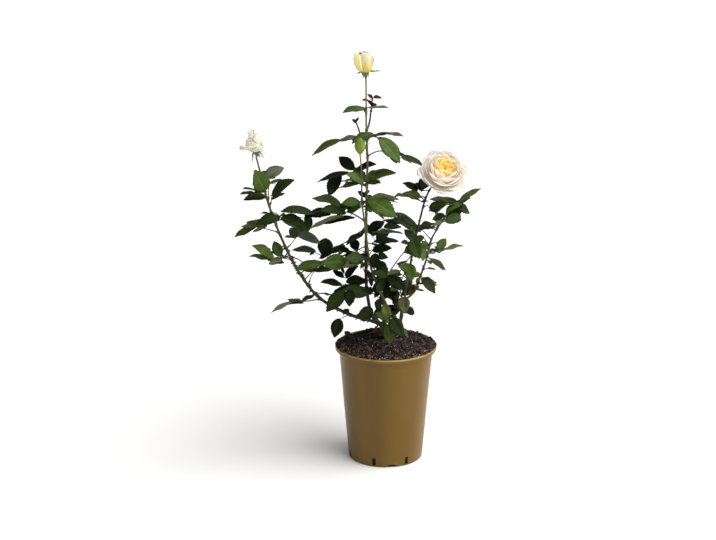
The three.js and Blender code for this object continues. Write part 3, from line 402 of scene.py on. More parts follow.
def rachis_at(pts, f):
    pts = [np.array(p, float) for p in pts]
    seg = [math.sqrt(float((b - a) @ (b - a))) for a, b in zip(pts, pts[1:])]
    s = f * sum(seg)
    for a, b, l in zip(pts, pts[1:], seg):
        if s <= l or (b is pts[-1]):
            return a + (b - a) * min(1.0, s / max(l, 1e-6)), unit(b - a)
        s -= l


def rule_leaflet(seed, pts):
    """A leaflet set off from its rachis: station, direction, size, roll and tone come from the seed."""
    r = random.Random(seed * 7919 + 13)
    f = r.choice((0.45, 0.62, 0.8, 1.0))
    p, d = rachis_at(pts, f)
    bearing0 = math.degrees(math.atan2(d[1], d[0]))
    side = r.choice((-1, 1))
    bearing = bearing0 + side * (r.uniform(38, 85) if f < 1 else r.uniform(0, 60))
    rise = r.uniform(-38, 22)
    length = r.uniform(30, 48)
    width = length * r.uniform(0.5, 0.62)
    turn = r.gauss(0, 16)
    if r.random() < 0.25:
        turn += r.choice((-1, 1)) * r.uniform(20, 45)
    # hidden leaflets mostly take the dark tones, which stand partly for painted shade
    tone = r.choice("kkddmm")
    base = p + way(bearing, rise) * 3.0
    return base, length, bearing, rise, width, turn, tone


def rule_spray(seed, limb, t, aim):
    """A compound leaf from a limb towards a point: its rachis arches, with pairs of leaflets and an end one."""
    r = random.Random(seed * 104729 + 7)
    p0 = on_limb(limb, t)
    target = np.array(aim, float) + np.array((r.uniform(-14, 14), r.uniform(-14, 14), r.uniform(-8, 8)))
    v = target - p0
    reach = math.sqrt(float(v @ v))
    v = v / reach
    reach = min(max(reach, 26), 62) * r.uniform(0.9, 1.1)
    n = 7
    pts = []
    for i in range(n + 1):
        s = i / n
        pts.append(p0 + v * reach * s + np.array((0, 0, 1)) * (7 * s - 11 * s * s))
    d = unit(pts[-1] - pts[-3])
    b0 = math.degrees(math.atan2(d[1], d[0]))
    size = r.uniform(36, 46)
    out = []
    pairs = r.choice((1, 2, 2))
    for k in range(pairs):
        f = 1 - (k + 1) * 0.30
        q, _ = rachis_at(pts, f)
        for side in (-1, 1):
            be = b0 + side * r.uniform(48, 78)
            ri = r.uniform(-26, 16)
            length = size * (0.95 - 0.10 * k) * r.uniform(0.9, 1.05)
            out.append((q + way(be, ri) * 2.5, length, be, ri, length * r.uniform(0.52, 0.62), r.gauss(0, 14), None))
    be, ri = b0 + r.uniform(-12, 12), r.uniform(-34, 6)
    out.append((pts[-1] + way(be, ri) * 2.0, size * 1.08, be, ri, size * 1.08 * r.uniform(0.52, 0.6), r.gauss(0, 12), None))
    # far-side sprays mostly take the dark tones, which stand partly for painted shade
    tone = r.choice("kkddmmb")
    return pts, out, tone


# ------------------------------------------------------------------ mesh making
class Heap:
    """Faces of many small shapes, gathered into one mesh. Places in millimetres; mark is (along, across, own number)."""

    def __init__(self):
        self.co, self.mark, self.quads, self.tris, self.qm, self.tm, self.n = [], [], [], [], [], [], 0

    def add(self, co, mark, quads=None, tris=None, mat=0, mats=None):
        co = np.asarray(co, float).reshape(-1, 3)
        mark = np.asarray(mark, float)
        if mark.ndim == 1:
            mark = np.tile(mark, (len(co), 1))
        self.co.append(co)
        self.mark.append(mark)
        if quads is not None and len(quads):
            q = np.asarray(quads, int).reshape(-1, 4)
            self.quads.append(q + self.n)
            self.qm.append(np.asarray(mats, int) if mats is not None else np.full(len(q), mat, int))
        if tris is not None and len(tris):
            t = np.asarray(tris, int).reshape(-1, 3)
            self.tris.append(t + self.n)
            self.tm.append(np.full(len(t), mat, int))
        self.n += len(co)

    def build(self, name, materials, slot=None, stands_for=(), smooth=True):
        co = np.concatenate(self.co) * 0.001
        mark = np.concatenate(self.mark)
        quads = np.concatenate(self.quads) if self.quads else np.zeros((0, 4), int)
        tris = np.concatenate(self.tris) if self.tris else np.zeros((0, 3), int)
        qm = np.concatenate(self.qm) if self.qm else np.zeros(0, int)
        tm = np.concatenate(self.tm) if self.tm else np.zeros(0, int)
        used = sorted(set(qm.tolist()) | set(tm.tolist()))
        remap = {m: i for i, m in enumerate(used)}
        me = bpy.data.meshes.new(name)
        me.vertices.add(len(co))
        me.vertices.foreach_set("co", co.astype(np.float32).ravel())
        loops = np.concatenate([quads.ravel(), tris.ravel()]).astype(np.int32)
        total = np.concatenate([np.full(len(quads), 4), np.full(len(tris), 3)]).astype(np.int32)
        start = np.concatenate([[0], np.cumsum(total)[:-1]]).astype(np.int32)
        me.loops.add(len(loops))
        me.loops.foreach_set("vertex_index", loops)
        me.polygons.add(len(total))
        me.polygons.foreach_set("loop_start", start)
        me.polygons.foreach_set("loop_total", total)
        me.polygons.foreach_set("material_index", np.array([remap[m] for m in np.concatenate([qm, tm])], np.int32))
        me.polygons.foreach_set("use_smooth", np.full(len(total), smooth))
        at = me.attributes.new("mark", "FLOAT_VECTOR", "POINT")
        at.data.foreach_set("vector", mark.astype(np.float32).ravel())
        for m in used:
            me.materials.append(materials[m])
        me.update(calc_edges=True)
        me.validate()
        ob = bpy.data.objects.new(name, me)
        bpy.context.scene.collection.objects.link(ob)
        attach(ob, "root")
        if stands_for:
            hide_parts(*stands_for)
        return ob


def sheet(heap, P, upper, lower, mark, mat_up, mat_low, around=False):
    """A thin closed body over a grid of points: two faces that share their margin. upper and lower are how far
    each face stands off the grid. around closes the grid on itself across its columns."""
    P = np.asarray(P, float)
    na, nb = P.shape[:2]
    da = np.gradient(P, axis=0)
    if around:
        db = np.roll(P, -1, axis=1) - np.roll(P, 1, axis=1)
    else:
        db = np.gradient(P, axis=1)
    N = np.cross(da, db)
    ln = np.linalg.norm(N, axis=2, keepdims=True)
    N = N / np.maximum(ln, 1e-9)
    border = np.zeros((na, nb), bool)
    border[0, :] = border[-1, :] = True
    if not around:
        border[:, 0] = border[:, -1] = True
    up = np.where(border, 0, upper)[..., None]
    lo = np.where(border, 0, lower)[..., None]
    top = (P + N * up).reshape(-1, 3)
    idx = np.arange(na * nb).reshape(na, nb)
    inner = ~border
    low_idx = idx.copy()
    low_idx[inner] = na * nb + np.arange(int(inner.sum()))
    low = (P - N * lo)[inner]
    co = np.concatenate([top, low])
    mk = np.asarray(mark, float).reshape(-1, 3)
    mk = np.concatenate([mk, mk.reshape(na, nb, 3)[inner]])
    nxt = (lambda g: np.roll(g, -1, axis=1)) if around else (lambda g: g[:, 1:])
    cur = (lambda g: g) if around else (lambda g: g[:, :-1])
    t = np.stack([cur(idx)[:-1], cur(idx)[1:], nxt(idx)[1:], nxt(idx)[:-1]], -1).reshape(-1, 4)
    b = np.stack([cur(low_idx)[:-1], nxt(low_idx)[:-1], nxt(low_idx)[1:], cur(low_idx)[1:]], -1).reshape(-1, 4)
    heap.add(co, mk, quads=np.concatenate([t, b]),
             mats=np.concatenate([np.full(len(t), mat_up), np.full(len(b), mat_low)]))


def smooth_line(pts, n):
    """Catmull-Rom curve through a few points, at n + 1 even stations."""
    pts = [np.asarray(p, float) for p in pts]
    if len(pts) == 2:
        pts = [pts[0], (pts[0] + pts[1]) / 2, pts[1]]
    ext = [2 * pts[0] - pts[1], *pts, 2 * pts[-1] - pts[-2]]
    dense = []
    for i in range(1, len(ext) - 2):
        for k in range(8):
            t = k / 8
            a, b, c, d = ext[i - 1:i + 3]
            dense.append(0.5 * (2 * b + (c - a) * t + (2 * a - 5 * b + 4 * c - d) * t * t + (3 * b - a - 3 * c + d) * t ** 3))
    dense.append(pts[-1])
    dense = np.array(dense)
    s = np.concatenate([[0], np.cumsum(np.linalg.norm(np.diff(dense, axis=0), axis=1))])
    u = np.linspace(0, s[-1], n + 1)
    return np.stack([np.interp(u, s, dense[:, k]) for k in range(3)], 1)


def frames(line):
    """Tangent and two sides at each point, carried along without twist."""
    line = np.asarray(line, float)
    T = np.gradient(line, axis=0)
    T /= np.maximum(np.linalg.norm(T, axis=1, keepdims=True), 1e-9)
    side = unit(np.cross(T[0], (0, 1, 0) if abs(T[0][1]) < 0.9 else (1, 0, 0)))
    S = []
    for t in T:
        side = unit(side - (side @ t) * t)
        S.append(side.copy())
    S = np.array(S)
    return T, S, np.cross(T, S)


def tube(heap, line, radii, sides, mat, number=0.0, relief=None, dome=0.6, span=(0, 1)):
    """A round stem along a line with closed, domed ends. relief(i, angles) scales the radius."""
    line = np.asarray(line, float)
    n = len(line)
    T, S, B = frames(line)
    ang = np.arange(sides) * 2 * math.pi / sides
    R = np.asarray(radii, float)[:, None] * np.ones((1, sides))
    if relief is not None:
        R = R * relief(np.linspace(0, 1, n)[:, None], ang[None, :])
    ring = line[:, None, :] + R[..., None] * (np.cos(ang)[None, :, None] * S[:, None, :] + np.sin(ang)[None, :, None] * B[:, None, :])
    co = ring.reshape(-1, 3)
    first = line[0] - T[0] * radii[0] * dome
    last = line[-1] + T[-1] * radii[-1] * dome
    co = np.concatenate([co, [first], [last]])
    tt = np.linspace(span[0], span[1], n)
    mk = np.stack([np.repeat(tt, sides), np.tile(ang / (2 * math.pi), n), np.full(n * sides, number)], 1)
    mk = np.concatenate([mk, [[span[0], 0, number]], [[span[1], 0, number]]])
    idx = np.arange(n * sides).reshape(n, sides)
    nx = np.roll(idx, -1, axis=1)
    q = np.stack([idx[:-1], nx[:-1], nx[1:], idx[1:]], -1).reshape(-1, 4)
    a, b = n * sides, n * sides + 1
    tri = [(a, nx[0][k], idx[0][k]) for k in range(sides)] + [(b, idx[-1][k], nx[-1][k]) for k in range(sides)]
    heap.add(co, mk, quads=q, tris=tri, mat=mat)


# ------------------------------------------------------------------ leaves
ACROSS = np.array((-1.0, -0.66, -0.32, 0.0, 0.32, 0.66, 1.0))


def blade(heap, base, length, bearing, rise, width, turn, mat_up, mat_low, seed, curl=0.075, fold=0.20, teeth=11):
    """One leaflet: a pointed oval with saw teeth, folded along its midrib and quilted between its side veins."""
    r = random.Random(seed * 31 + 5)
    a, n, w = blade_frame(bearing, rise, turn)
    nu = 2 * teeth
    u = np.linspace(0, 1, nu + 1)[:, None]
    v = ACROSS[None, :]
    hu = np.maximum(outline(u), 0.0) * width / 2
    hu = np.maximum(hu, np.where(u < 0.5, 0.45, 0.12))
    odd = (np.arange(nu + 1) % 2 == 1)[:, None]
    edge = np.abs(v) > 0.99
    inside = ((u > 0.06) & (u < 0.97)).astype(float)
    scale = 1 + inside * np.where(edge, np.where(odd, 0.050, -0.045), 0.0)
    shift = inside * np.where(edge & odd, 0.55 / nu, 0.0) + 0.035 * np.abs(v) ** 1.5 * np.sin(np.pi * u)
    fold = fold * r.uniform(0.5, 1.5)
    curl = curl * r.uniform(0.75, 1.3)
    bend = r.uniform(-0.035, 0.035)
    ph, amp = r.uniform(0, 6.28), r.uniform(0.015, 0.05)
    av = np.abs(v)
    h = (curl * length * 4 * u * (1 - u)
         - 0.06 * length * np.maximum(0, u - 0.72) ** 2 * 12 * 0.35
         + fold * hu * av ** 1.25 * (1 - 0.5 * u)
         + amp * width * np.sin(2 * math.pi * (1.6 * u) + ph + np.where(v > 0, 1.7, 0)) * av ** 2 * np.sin(np.pi * u)
         + 0.020 * width * (1 - av) * av * 4 * np.cos(2 * math.pi * (6.5 * u - 1.1 * av)) * np.sin(np.pi * u)
         - np.where(av < 0.01, 0.022 * width * np.sin(np.pi * u) ** 0.6, 0))
    x = length * (u + shift) + 0 * v
    y = v * hu * scale + bend * length * 4 * u * (1 - u)
    P = np.asarray(base)[None, None, :] + a * x[..., None] + w * y[..., None] + n * h[..., None]
    mark = np.stack([u + 0 * v, v + 0 * u, np.full((nu + 1, len(ACROSS)), r.random())], -1)
    thick = 0.16 + 0.10 * (1 - av) + 0 * u
    rib = np.where(av < 0.01, 0.50 * (1 - 0.8 * u), 0)
    # columns run from the left margin to the right, so that the grid's own normal is the upper face
    sheet(heap, P, thick, thick + rib, mark, mat_up, mat_low)


def stipule(heap, p, d, side, length, mat, number):
    """A narrow wing along the foot of a leaf stalk, free at its tip."""
    d = unit(d)
    s = unit(np.cross(d, (0, 0, 1))) * side
    n = unit(np.cross(s, d)) * side
    u = np.linspace(0, 1, 7)[:, None]
    v = np.array((0.0, 0.5, 1.0))[None, :]
    wid = 1.7 * np.where(u < 0.75, 0.75 + 0.45 * u, np.maximum(1.1 * (1 - u) / 0.25, 0.06))
    flare = 2.6 * np.maximum(0, u - 0.55) ** 1.5
    P = (np.asarray(p)[None, None, :] + d * (u * length)[..., None] * np.ones((1, 3, 1))
         + s * (v * wid + flare * (0.4 + v) + 0.5)[..., None] + n * (0.25 * v * wid)[..., None])
    mark = np.stack([u + 0 * v, v + 0 * u, np.full((7, 3), number)], -1)
    sheet(heap, P, 0.16, 0.16, mark, mat, mat)


# ------------------------------------------------------------------ materials
def srgb(r, g, b):
    return tuple(((c / 255 + 0.055) / 1.055) ** 2.4 if c / 255 > 0.04045 else c / 255 / 12.92 for c in (r, g, b)) + (1.0,)


class Nodes:
    """Short names for the nodes that the materials below are built of."""

    def __init__(self, name):
        self.mat = bpy.data.materials.new(name)
        self.mat.use_nodes = True
        self.nt = self.mat.node_tree
        self.bsdf = self.nt.nodes["Principled BSDF"]

    def new(self, kind, **props):
        n = self.nt.nodes.new(kind)
        for k, v in props.items():
            setattr(n, k, v)
        return n

    def link(self, a, b):
        self.nt.links.new(a, b)

    def put(self, socket, value):
        if isinstance(value, bpy.types.NodeSocket):
            self.link(value, socket)
        else:
            socket.default_value = value

    def math(self, op, a, b=0.0, c=None, clamp=False):
        n = self.new("ShaderNodeMath", operation=op, use_clamp=clamp)
        self.put(n.inputs[0], a)
        self.put(n.inputs[1], b)
        if c is not None:
            self.put(n.inputs[2], c)
        return n.outputs[0]

    def ramp(self, x, lo, hi, out_lo=0.0, out_hi=1.0):
        n = self.new("ShaderNodeMapRange", interpolation_type="SMOOTHSTEP")
        for s, v in zip(n.inputs[:5], (x, lo, hi, out_lo, out_hi)):
            self.put(s, v)
        return n.outputs[0]

    def mix(self, f, a, b, blend="MIX"):
        n = self.new("ShaderNodeMix", data_type="RGBA", blend_type=blend)
        self.put(n.inputs[0], f)
        self.put(n.inputs[6], a)
        self.put(n.inputs[7], b)
        return n.outputs[2]

    def noise(self, scale, detail=3.0, rough=0.55, squeeze=None, distort=0.0):
        n = self.new("ShaderNodeTexNoise")
        n.inputs["Scale"].default_value = scale
        n.inputs["Detail"].default_value = detail
        n.inputs["Roughness"].default_value = rough
        n.inputs["Distortion"].default_value = distort
        tc = self.new("ShaderNodeTexCoord")
        if squeeze:
            m = self.new("ShaderNodeMapping")
            m.inputs["Scale"].default_value = squeeze
            self.link(tc.outputs["Object"], m.inputs["Vector"])
            self.link(m.outputs[0], n.inputs["Vector"])
        else:
            self.link(tc.outputs["Object"], n.inputs["Vector"])
        return n.outputs[0]

    def mark(self):
        a = self.new("ShaderNodeAttribute", attribute_name="mark")
        s = self.new("ShaderNodeSeparateXYZ")
        self.link(a.outputs["Vector"], s.inputs[0])
        return s.outputs

    def bump(self, height, strength, distance):
        n = self.new("ShaderNodeBump")
        n.inputs["Strength"].default_value = strength
        n.inputs["Distance"].default_value = distance
        self.link(height, n.inputs["Height"])
        self.link(n.outputs[0], self.bsdf.inputs["Normal"])

    def finish(self, colour, rough, **flat):
        self.link(colour, self.bsdf.inputs["Base Color"])
        self.put(self.bsdf.inputs["Roughness"], rough)
        for k, v in flat.items():
            self.bsdf.inputs[k].default_value = v
        return self.mat


def scaled(c, k):
    return tuple(min(1.0, x * k) for x in c[:3]) + (1.0,)


def leaf_material(name, base, vein, rough=(0.36, 0.52), specular=0.45, mottle=0.35, rib=0.42, side_rib=0.14, rim=None, coat=0.0):
    k = Nodes(name)
    u, v, own = k.mark()[:3]
    av = k.math("ABSOLUTE", v)
    patches = k.noise(70.0, 3.0)
    fine = k.noise(900.0, 2.0)
    colour = k.mix(k.ramp(patches, 0.30, 0.72), scaled(base, 1 - mottle), scaled(base, 1 + mottle))
    colour = k.mix(k.math("MULTIPLY", k.ramp(own, 0.0, 1.0), 0.55), colour, scaled(base, 0.72))
    # side veins sweep forward from the midrib
    wave = k.math("SINE", k.math("MULTIPLY", k.math("SUBTRACT", k.math("MULTIPLY", u, 6.5), k.math("MULTIPLY", av, 1.1)), 6.2832))
    side = k.math("MULTIPLY", k.ramp(wave, 0.80, 1.0), k.ramp(av, 1.0, 0.55))
    mid = k.ramp(av, 0.075, 0.015)
    colour = k.mix(k.math("MULTIPLY", side, side_rib), colour, vein)
    colour = k.mix(k.math("MULTIPLY", mid, rib), colour, vein)
    if rim:
        colour = k.mix(k.math("MULTIPLY", k.ramp(av, 0.72, 1.0), k.ramp(patches, 0.35, 0.75)), colour, rim)
    roughness = k.ramp(k.math("ADD", k.math("MULTIPLY", patches, 0.7), k.math("MULTIPLY", fine, 0.3)), 0.3, 0.7, *rough)
    net = k.math("ADD", k.math("MULTIPLY", fine, 0.35), k.math("ADD", k.math("MULTIPLY", side, -0.6), k.math("MULTIPLY", mid, -0.8)))
    k.bump(net, 0.35, 0.0004)
    flat = {"Specular IOR Level": specular}
    if coat:
        flat.update({"Coat Weight": coat, "Coat Roughness": 0.3})
    return k.finish(colour, roughness, **flat)


def bark_material(name, low, high, split=(0.2, 0.8), streak=0.45, rough=(0.42, 0.62), lenticel=None, specular=0.4):
    """Young rose bark: one colour at the foot, another towards the tip, streaked along its length."""
    k = Nodes(name)
    t, around, own = k.mark()[:3]
    streaks = k.noise(420.0, 4.0, 0.6, squeeze=(1.0, 1.0, 0.16))
    patch = k.noise(45.0, 2.0)
    base = k.mix(k.ramp(k.math("ADD", t, k.math("MULTIPLY", k.math("SUBTRACT", patch, 0.5), 0.5)), *split), low, high)
    colour = k.mix(k.ramp(streaks, 0.35, 0.68), scaled_mix(k, base, 1 - streak), base)
    colour = k.mix(k.math("MULTIPLY", k.ramp(streaks, 0.58, 0.74), 0.45), colour, scaled_mix(k, base, 1 + streak))
    if lenticel:
        spots = k.noise(700.0, 1.0, 0.4, squeeze=(1.0, 1.0, 0.5))
        colour = k.mix(k.math("MULTIPLY", k.ramp(spots, 0.66, 0.74), 0.7), colour, lenticel)
    k.bump(k.math("ADD", streaks, k.math("MULTIPLY", patch, 0.4)), 0.5, 0.0005)
    return k.finish(colour, k.ramp(streaks, 0.3, 0.7, *rough), **{"Specular IOR Level": specular})


def scaled_mix(k, colour, f):
    n = k.new("ShaderNodeVectorMath", operation="SCALE")
    k.link(colour, n.inputs[0])
    n.inputs[3].default_value = f
    return n.outputs[0]


def petal_material(name, foot, body, lip, foot_to=0.45, foot_from=0.05, lip_from=0.75, veins=0.06, rough=(0.5, 0.66), blotch=None, blotch_at=(0.62, 0.74),
                   painted_glow=(1.0, 0.86, 0.62), strength=0.0):
    """A petal: one colour at its claw, another over its body, a third at its lip, with fine lengthwise veins."""
    k = Nodes(name)
    t, s, own = k.mark()[:3]
    cloud = k.noise(55.0, 3.0)
    fibre = k.math("SINE", k.math("MULTIPLY", s, 46.0))
    wobble = k.math("ADD", t, k.math("MULTIPLY", k.math("SUBTRACT", cloud, 0.5), 0.35))
    colour = k.mix(k.ramp(wobble, foot_from, foot_to), foot, body)
    colour = k.mix(k.ramp(wobble, lip_from, 1.0), colour, lip)
    colour = k.mix(k.math("MULTIPLY", k.ramp(fibre, 0.2, 1.0), veins), colour, scaled_mix(k, colour, 0.88))
    if blotch:
        colour = k.mix(k.math("MULTIPLY", k.ramp(cloud, *blotch_at), 0.6), colour, blotch)
    fine = k.noise(1400.0, 2.0)
    k.bump(k.math("ADD", k.math("MULTIPLY", fibre, 0.25), k.math("MULTIPLY", fine, 0.5)), 0.16, 0.0003)
    return k.finish(colour, k.ramp(fine, 0.3, 0.7, *rough), **{"Specular IOR Level": 0.2, "Sheen Weight": 0.1, "Sheen Roughness": 0.5,
                                                                "Subsurface Weight": 0.7, "Subsurface Scale": 0.006, "Subsurface Radius": (1.0, 0.72, 0.42),
                                                                # painted glow: the petals give off a little light of
                                                                # their own, in place of the light that comes through
                                                                # from the petals behind
                                                                "Emission Color": painted_glow + (1.0,), "Emission Strength": strength})


UNDER = 20
MATS = {
    # upper faces, by the tone that is dealt to the spray: b, m, d and k are lighter and darker copies of one green,
    # partly the leaf's own colour and partly painted light and painted shade; the grey of g is partly a painted sheen
    "b": leaf_material("leaf_bright_and_lit", srgb(67, 89, 29), srgb(118, 134, 60), rough=(0.40, 0.56), specular=0.17),
    "m": leaf_material("leaf_mid", srgb(53, 71, 26), srgb(92, 108, 50), rough=(0.40, 0.56), specular=0.13),
    "d": leaf_material("leaf_dark_and_shaded", srgb(36, 50, 18), srgb(68, 80, 38), rough=(0.42, 0.58), specular=0.09),
    "k": leaf_material("leaf_deep_and_shaded", srgb(19, 29, 8), srgb(41, 53, 19), rough=(0.44, 0.62), specular=0.06),
    "v": leaf_material("leaf_dusky", srgb(48, 58, 38), srgb(80, 90, 60), rough=(0.42, 0.58), specular=0.24),
    "g": leaf_material("leaf_grey_and_sheen", srgb(74, 82, 58), srgb(112, 118, 84), rough=(0.42, 0.58), specular=0.3),
    "u": leaf_material("leaf_sage", srgb(100, 104, 82), srgb(134, 138, 106), rough=(0.5, 0.66), specular=0.25),
    "p": leaf_material("leaf_pale", srgb(113, 120, 71), srgb(160, 160, 101), rough=(0.5, 0.66), specular=0.25),
    "r": leaf_material("leaf_bronze", srgb(72, 68, 34), srgb(112, 104, 62), rough=(0.42, 0.58), specular=0.22, rim=srgb(92, 58, 36)),
    "o": leaf_material("leaf_rusty", srgb(80, 82, 50), srgb(120, 116, 78), rough=(0.44, 0.6), specular=0.22, rim=srgb(104, 72, 50)),
    "y": leaf_material("leaf_turning", srgb(88, 98, 34), srgb(138, 140, 70), rough=(0.42, 0.58), specular=0.25, rim=srgb(112, 92, 44)),
    "n": leaf_material("leaf_dry", srgb(66, 50, 32), srgb(96, 76, 50), rough=(0.6, 0.8), specular=0.15, rim=srgb(48, 34, 24)),
    "t": leaf_material("leaf_maroon", srgb(58, 12, 22), srgb(84, 30, 38), rough=(0.42, 0.56), specular=0.12, rim=srgb(40, 10, 16)),
}
LOW = {
    "": leaf_material("leaf_underside", srgb(90, 100, 66), srgb(126, 132, 92), rough=(0.58, 0.74), specular=0.16, mottle=0.15, rib=0.7, side_rib=0.35),
    "r": leaf_material("leaf_underside_bronze", srgb(92, 82, 54), srgb(128, 114, 80), rough=(0.58, 0.74), specular=0.16, mottle=0.2, rib=0.7, side_rib=0.35),
    "u": leaf_material("leaf_underside_pale", srgb(122, 126, 102), srgb(150, 152, 122), rough=(0.58, 0.74), specular=0.16, mottle=0.12, rib=0.6, side_rib=0.35),
}
TONES = list(MATS)
LEAF_MATS = [MATS[t] for t in TONES] + [LOW[""], LOW["r"], LOW["u"]]
UP_INDEX = {t: i for i, t in enumerate(TONES)}
LOW_INDEX = {t: len(TONES) + (1 if t in "ront" else 2 if t in "up" else 0) for t in TONES}
TWIG_GREEN = bark_material("stalk_green", srgb(76, 84, 44), srgb(62, 78, 38), rough=(0.42, 0.6))
TWIG_DARK = bark_material("stalk_dark", srgb(50, 56, 30), srgb(46, 58, 32), rough=(0.42, 0.6))
TWIG_RED = bark_material("stalk_red", srgb(78, 56, 42), srgb(72, 42, 44), rough=(0.4, 0.58), specular=0.2)
STIPULE = leaf_material("stipule", srgb(88, 104, 52), srgb(130, 136, 80), rough=(0.5, 0.66), rib=0.2, side_rib=0.1)


# ------------------------------------------------------------------ leaves and their stalks
SIDE_OF = {"cane_left_lower": "left", "cane_left_upper": "left", "cane_centre": "centre", "shoot_centre": "shoot",
           "cane_right_base": "right", "cane_right_bloom": "right", "cane_right_shoot": "right"}
leaf_heaps, stalk_heaps, nodes_on = {}, {}, {k: [] for k in LIMBS}
STALK_MATS = [TWIG_GREEN, TWIG_DARK, TWIG_RED, STIPULE]


def leaf_heap(mass):
    return leaf_heaps.setdefault(mass, Heap())


def stalk_heap(limb):
    return stalk_heaps.setdefault(SIDE_OF[limb], Heap())


def grow_stalk(limb, t, pts, thick, number, with_stipules=True):
    """The rachis from the limb's skin, thicker where it leaves the limb, with its pair of stipules."""
    h = stalk_heap(limb)
    length = sum(float(np.linalg.norm(b - a)) for a, b in zip(pts, pts[1:]))
    n = max(5, int(length / 3.2))
    line = smooth_line(pts, n)
    s = np.linspace(0, 1, n + 1)
    radii = thick * (1.0 - (0.42 if thick < 1.9 else 0.25) * s) + 0.9 * thick * np.exp(-(s * length / 3.4) ** 2)
    mat = 2 if thick > 1.9 else number % 5 == 0 and 2 or (number % 2 and 1 or 0)
    tube(h, line, radii, 7, mat, number=(number * 37 % 100) / 100)
    if with_stipules and length > 9:
        r = on_limb_radius(limb, t)
        d0 = unit(line[2] - line[0])
        for side in (-1, 1):
            stipule(h, line[0] + d0 * r, d0, side, min(11.0, 0.5 * length), 3, (number * 53 % 100) / 100)
    nodes_on[limb].append(t)
    return line


def on_limb_radius(limb, t):
    a, b = LIMBS[limb][2]
    return a + (b - a) * t


def bow(bearing, rise, turn):
    """How a blade arches and folds: those that lie level are stiff and flat, those that hang open arch and fold more."""
    n = blade_frame(bearing, rise, turn)[1]
    f = min(1.0, abs(float(n @ np.array((0.05, -0.96, 0.28)))) * 1.3)
    return {"curl": 0.012 + 0.066 * f, "fold": 0.03 + 0.19 * f}


def join_leaflet(limb, line, base, bearing, rise, length, number):
    """The short stalk between the rachis and a leaflet, running a little way into its midrib."""
    d = np.linalg.norm(line - base, axis=1)
    k = int(d.argmin())
    p = line[k]
    inside = base + way(bearing, rise) * min(3.0, 0.08 * length)
    if d[k] < 0.8:
        pts = [p, inside]
    else:
        along_line = unit(line[min(k + 1, len(line) - 1)] - line[max(k - 1, 0)])
        pts = [p, (p + base) / 2 + along_line * 0.12 * d[k] + np.array((0, 0, 0.04 * d[k])), inside]
    line2 = smooth_line(pts, max(3, int(d[k] / 4) + 3))
    tube(stalk_heap(limb), line2, np.linspace(0.62, 0.46, len(line2)), 6, number % 2, number=0.5)


def dealt(tone, own):
    """The tone of one leaflet: its spray's, now and then a step darker or lighter."""
    if tone not in "kdmb":
        return tone
    draw = random.Random(own * 131 + 7).random()
    return "kdmb"[min(3, max(0, "kdmb".index(tone) + (draw > 0.60) - (draw < 0.08)))]


number = 0
for mass, limb, t, rachis, leaflets, seeds in SPRAYS:
    number += 1
    foot = on_limb(limb, t)
    pts = [foot] + [foot + np.array(p, float) for p in rachis]
    young = mass == "leaves_young"
    reach = sum(float(np.linalg.norm(b - a)) for a, b in zip(pts, pts[1:]))
    line = grow_stalk(limb, t, pts, 1.95 if young else min(1.55, 1.16 + 0.006 * max(0.0, reach - 30)), number, with_stipules=not young)
    if young and len(pts) > 6:      # the swollen joint half way up the young shoot
        p, d = pts[4], unit(pts[5] - pts[3])
        tube(stalk_heap(limb), [p - d * 2.6, p - d * 1.2, p + d * 0.4, p + d * 2.2], [1.3, 2.6, 2.9, 1.2], 9, 2, number=0.2)
    rows = []
    for bx, by, bz, length, bearing, rise, width, turn, tone in leaflets:
        rows.append((foot + np.array((bx, by, bz)), length, bearing, rise, width, turn, tone))
    shades = [row[-1] for row in rows] or ["d"]
    for seed in seeds:
        base, length, bearing, rise, width, turn, tone = rule_leaflet(seed, [p - foot for p in pts])
        shade = shades[seed % len(shades)]
        rows.append((base + foot, length, bearing, rise, width, turn, shade if shade in "bmdkv" else tone))
    for k, (base, length, bearing, rise, width, turn, tone) in enumerate(rows):
        tone = dealt(tone, number * 100 + k)
        join_leaflet(limb, line, base, bearing, rise, length, number + k)
        blade(leaf_heap(mass), base, length, bearing, rise, width, turn, UP_INDEX[tone], LOW_INDEX[tone],
              number * 100 + k, **({"curl": 0.03, "fold": 0.45} if tone in "nt" else bow(bearing, rise, turn)))

for mass, limb, t, aim, seed, keep in BACK_SPRAYS:
    number += 1
    pts, rows, tone = rule_spray(seed, limb, t, aim)
    line = grow_stalk(limb, t, pts, 1.15, number)
    for k, (base, length, bearing, rise, width, turn, _) in enumerate(rows):
        if k not in keep:
            continue
        join_leaflet(limb, line, base, bearing, rise, length, number + k)
        blade(leaf_heap(mass), base, length, bearing, rise, width, turn, UP_INDEX[tone], LOW_INDEX[tone], number * 100 + k,
              **bow(bearing, rise, turn))

for mass, h in leaf_heaps.items():
    h.build(mass.replace("leaves_", "foliage_"), LEAF_MATS, slot="leaves", stands_for=(mass,))

# ------------------------------------------------------------------ canes
CANE_COLOURS = {
    "cane_left_lower": (srgb(52, 50, 34), srgb(56, 58, 36)),
    "cane_left_upper": (srgb(46, 48, 30), srgb(96, 100, 52)),
    "cane_centre": (srgb(44, 52, 32), srgb(118, 128, 80)),
    "shoot_centre": (srgb(84, 76, 40), srgb(96, 108, 56)),
    "cane_right_base": (srgb(50, 50, 28), srgb(70, 74, 40)),
    "cane_right_bloom": (srgb(66, 72, 38), srgb(34, 38, 22)),
    "cane_right_shoot": (srgb(120, 112, 56), srgb(62, 72, 38)),
}
NODE_RISE = 0.55


def cane_relief(seed, amount=0.045):
    r = random.Random(seed)
    parts = [(r.uniform(1, 5), r.randint(1, 4), r.uniform(0, 6.28), r.uniform(3, 15)) for _ in range(7)]

    def relief(s, ang):
        out = 1.0
        for f, m, ph, g in parts:
            out = out + amount * 0.6 * np.sin(m * ang + ph + f * s * 6.28) * np.cos(g * s * 6.28 + ph)
        return out + amount * 0.5 * np.cos(5 * ang + 3 * np.sin(9 * s))
    return relief


def bumps(limb, t, length):
    out = 0.0
    for tn in nodes_on[limb]:
        out += NODE_RISE * math.exp(-((t - tn) * length / 2.8) ** 2)
    return min(out, 0.9)


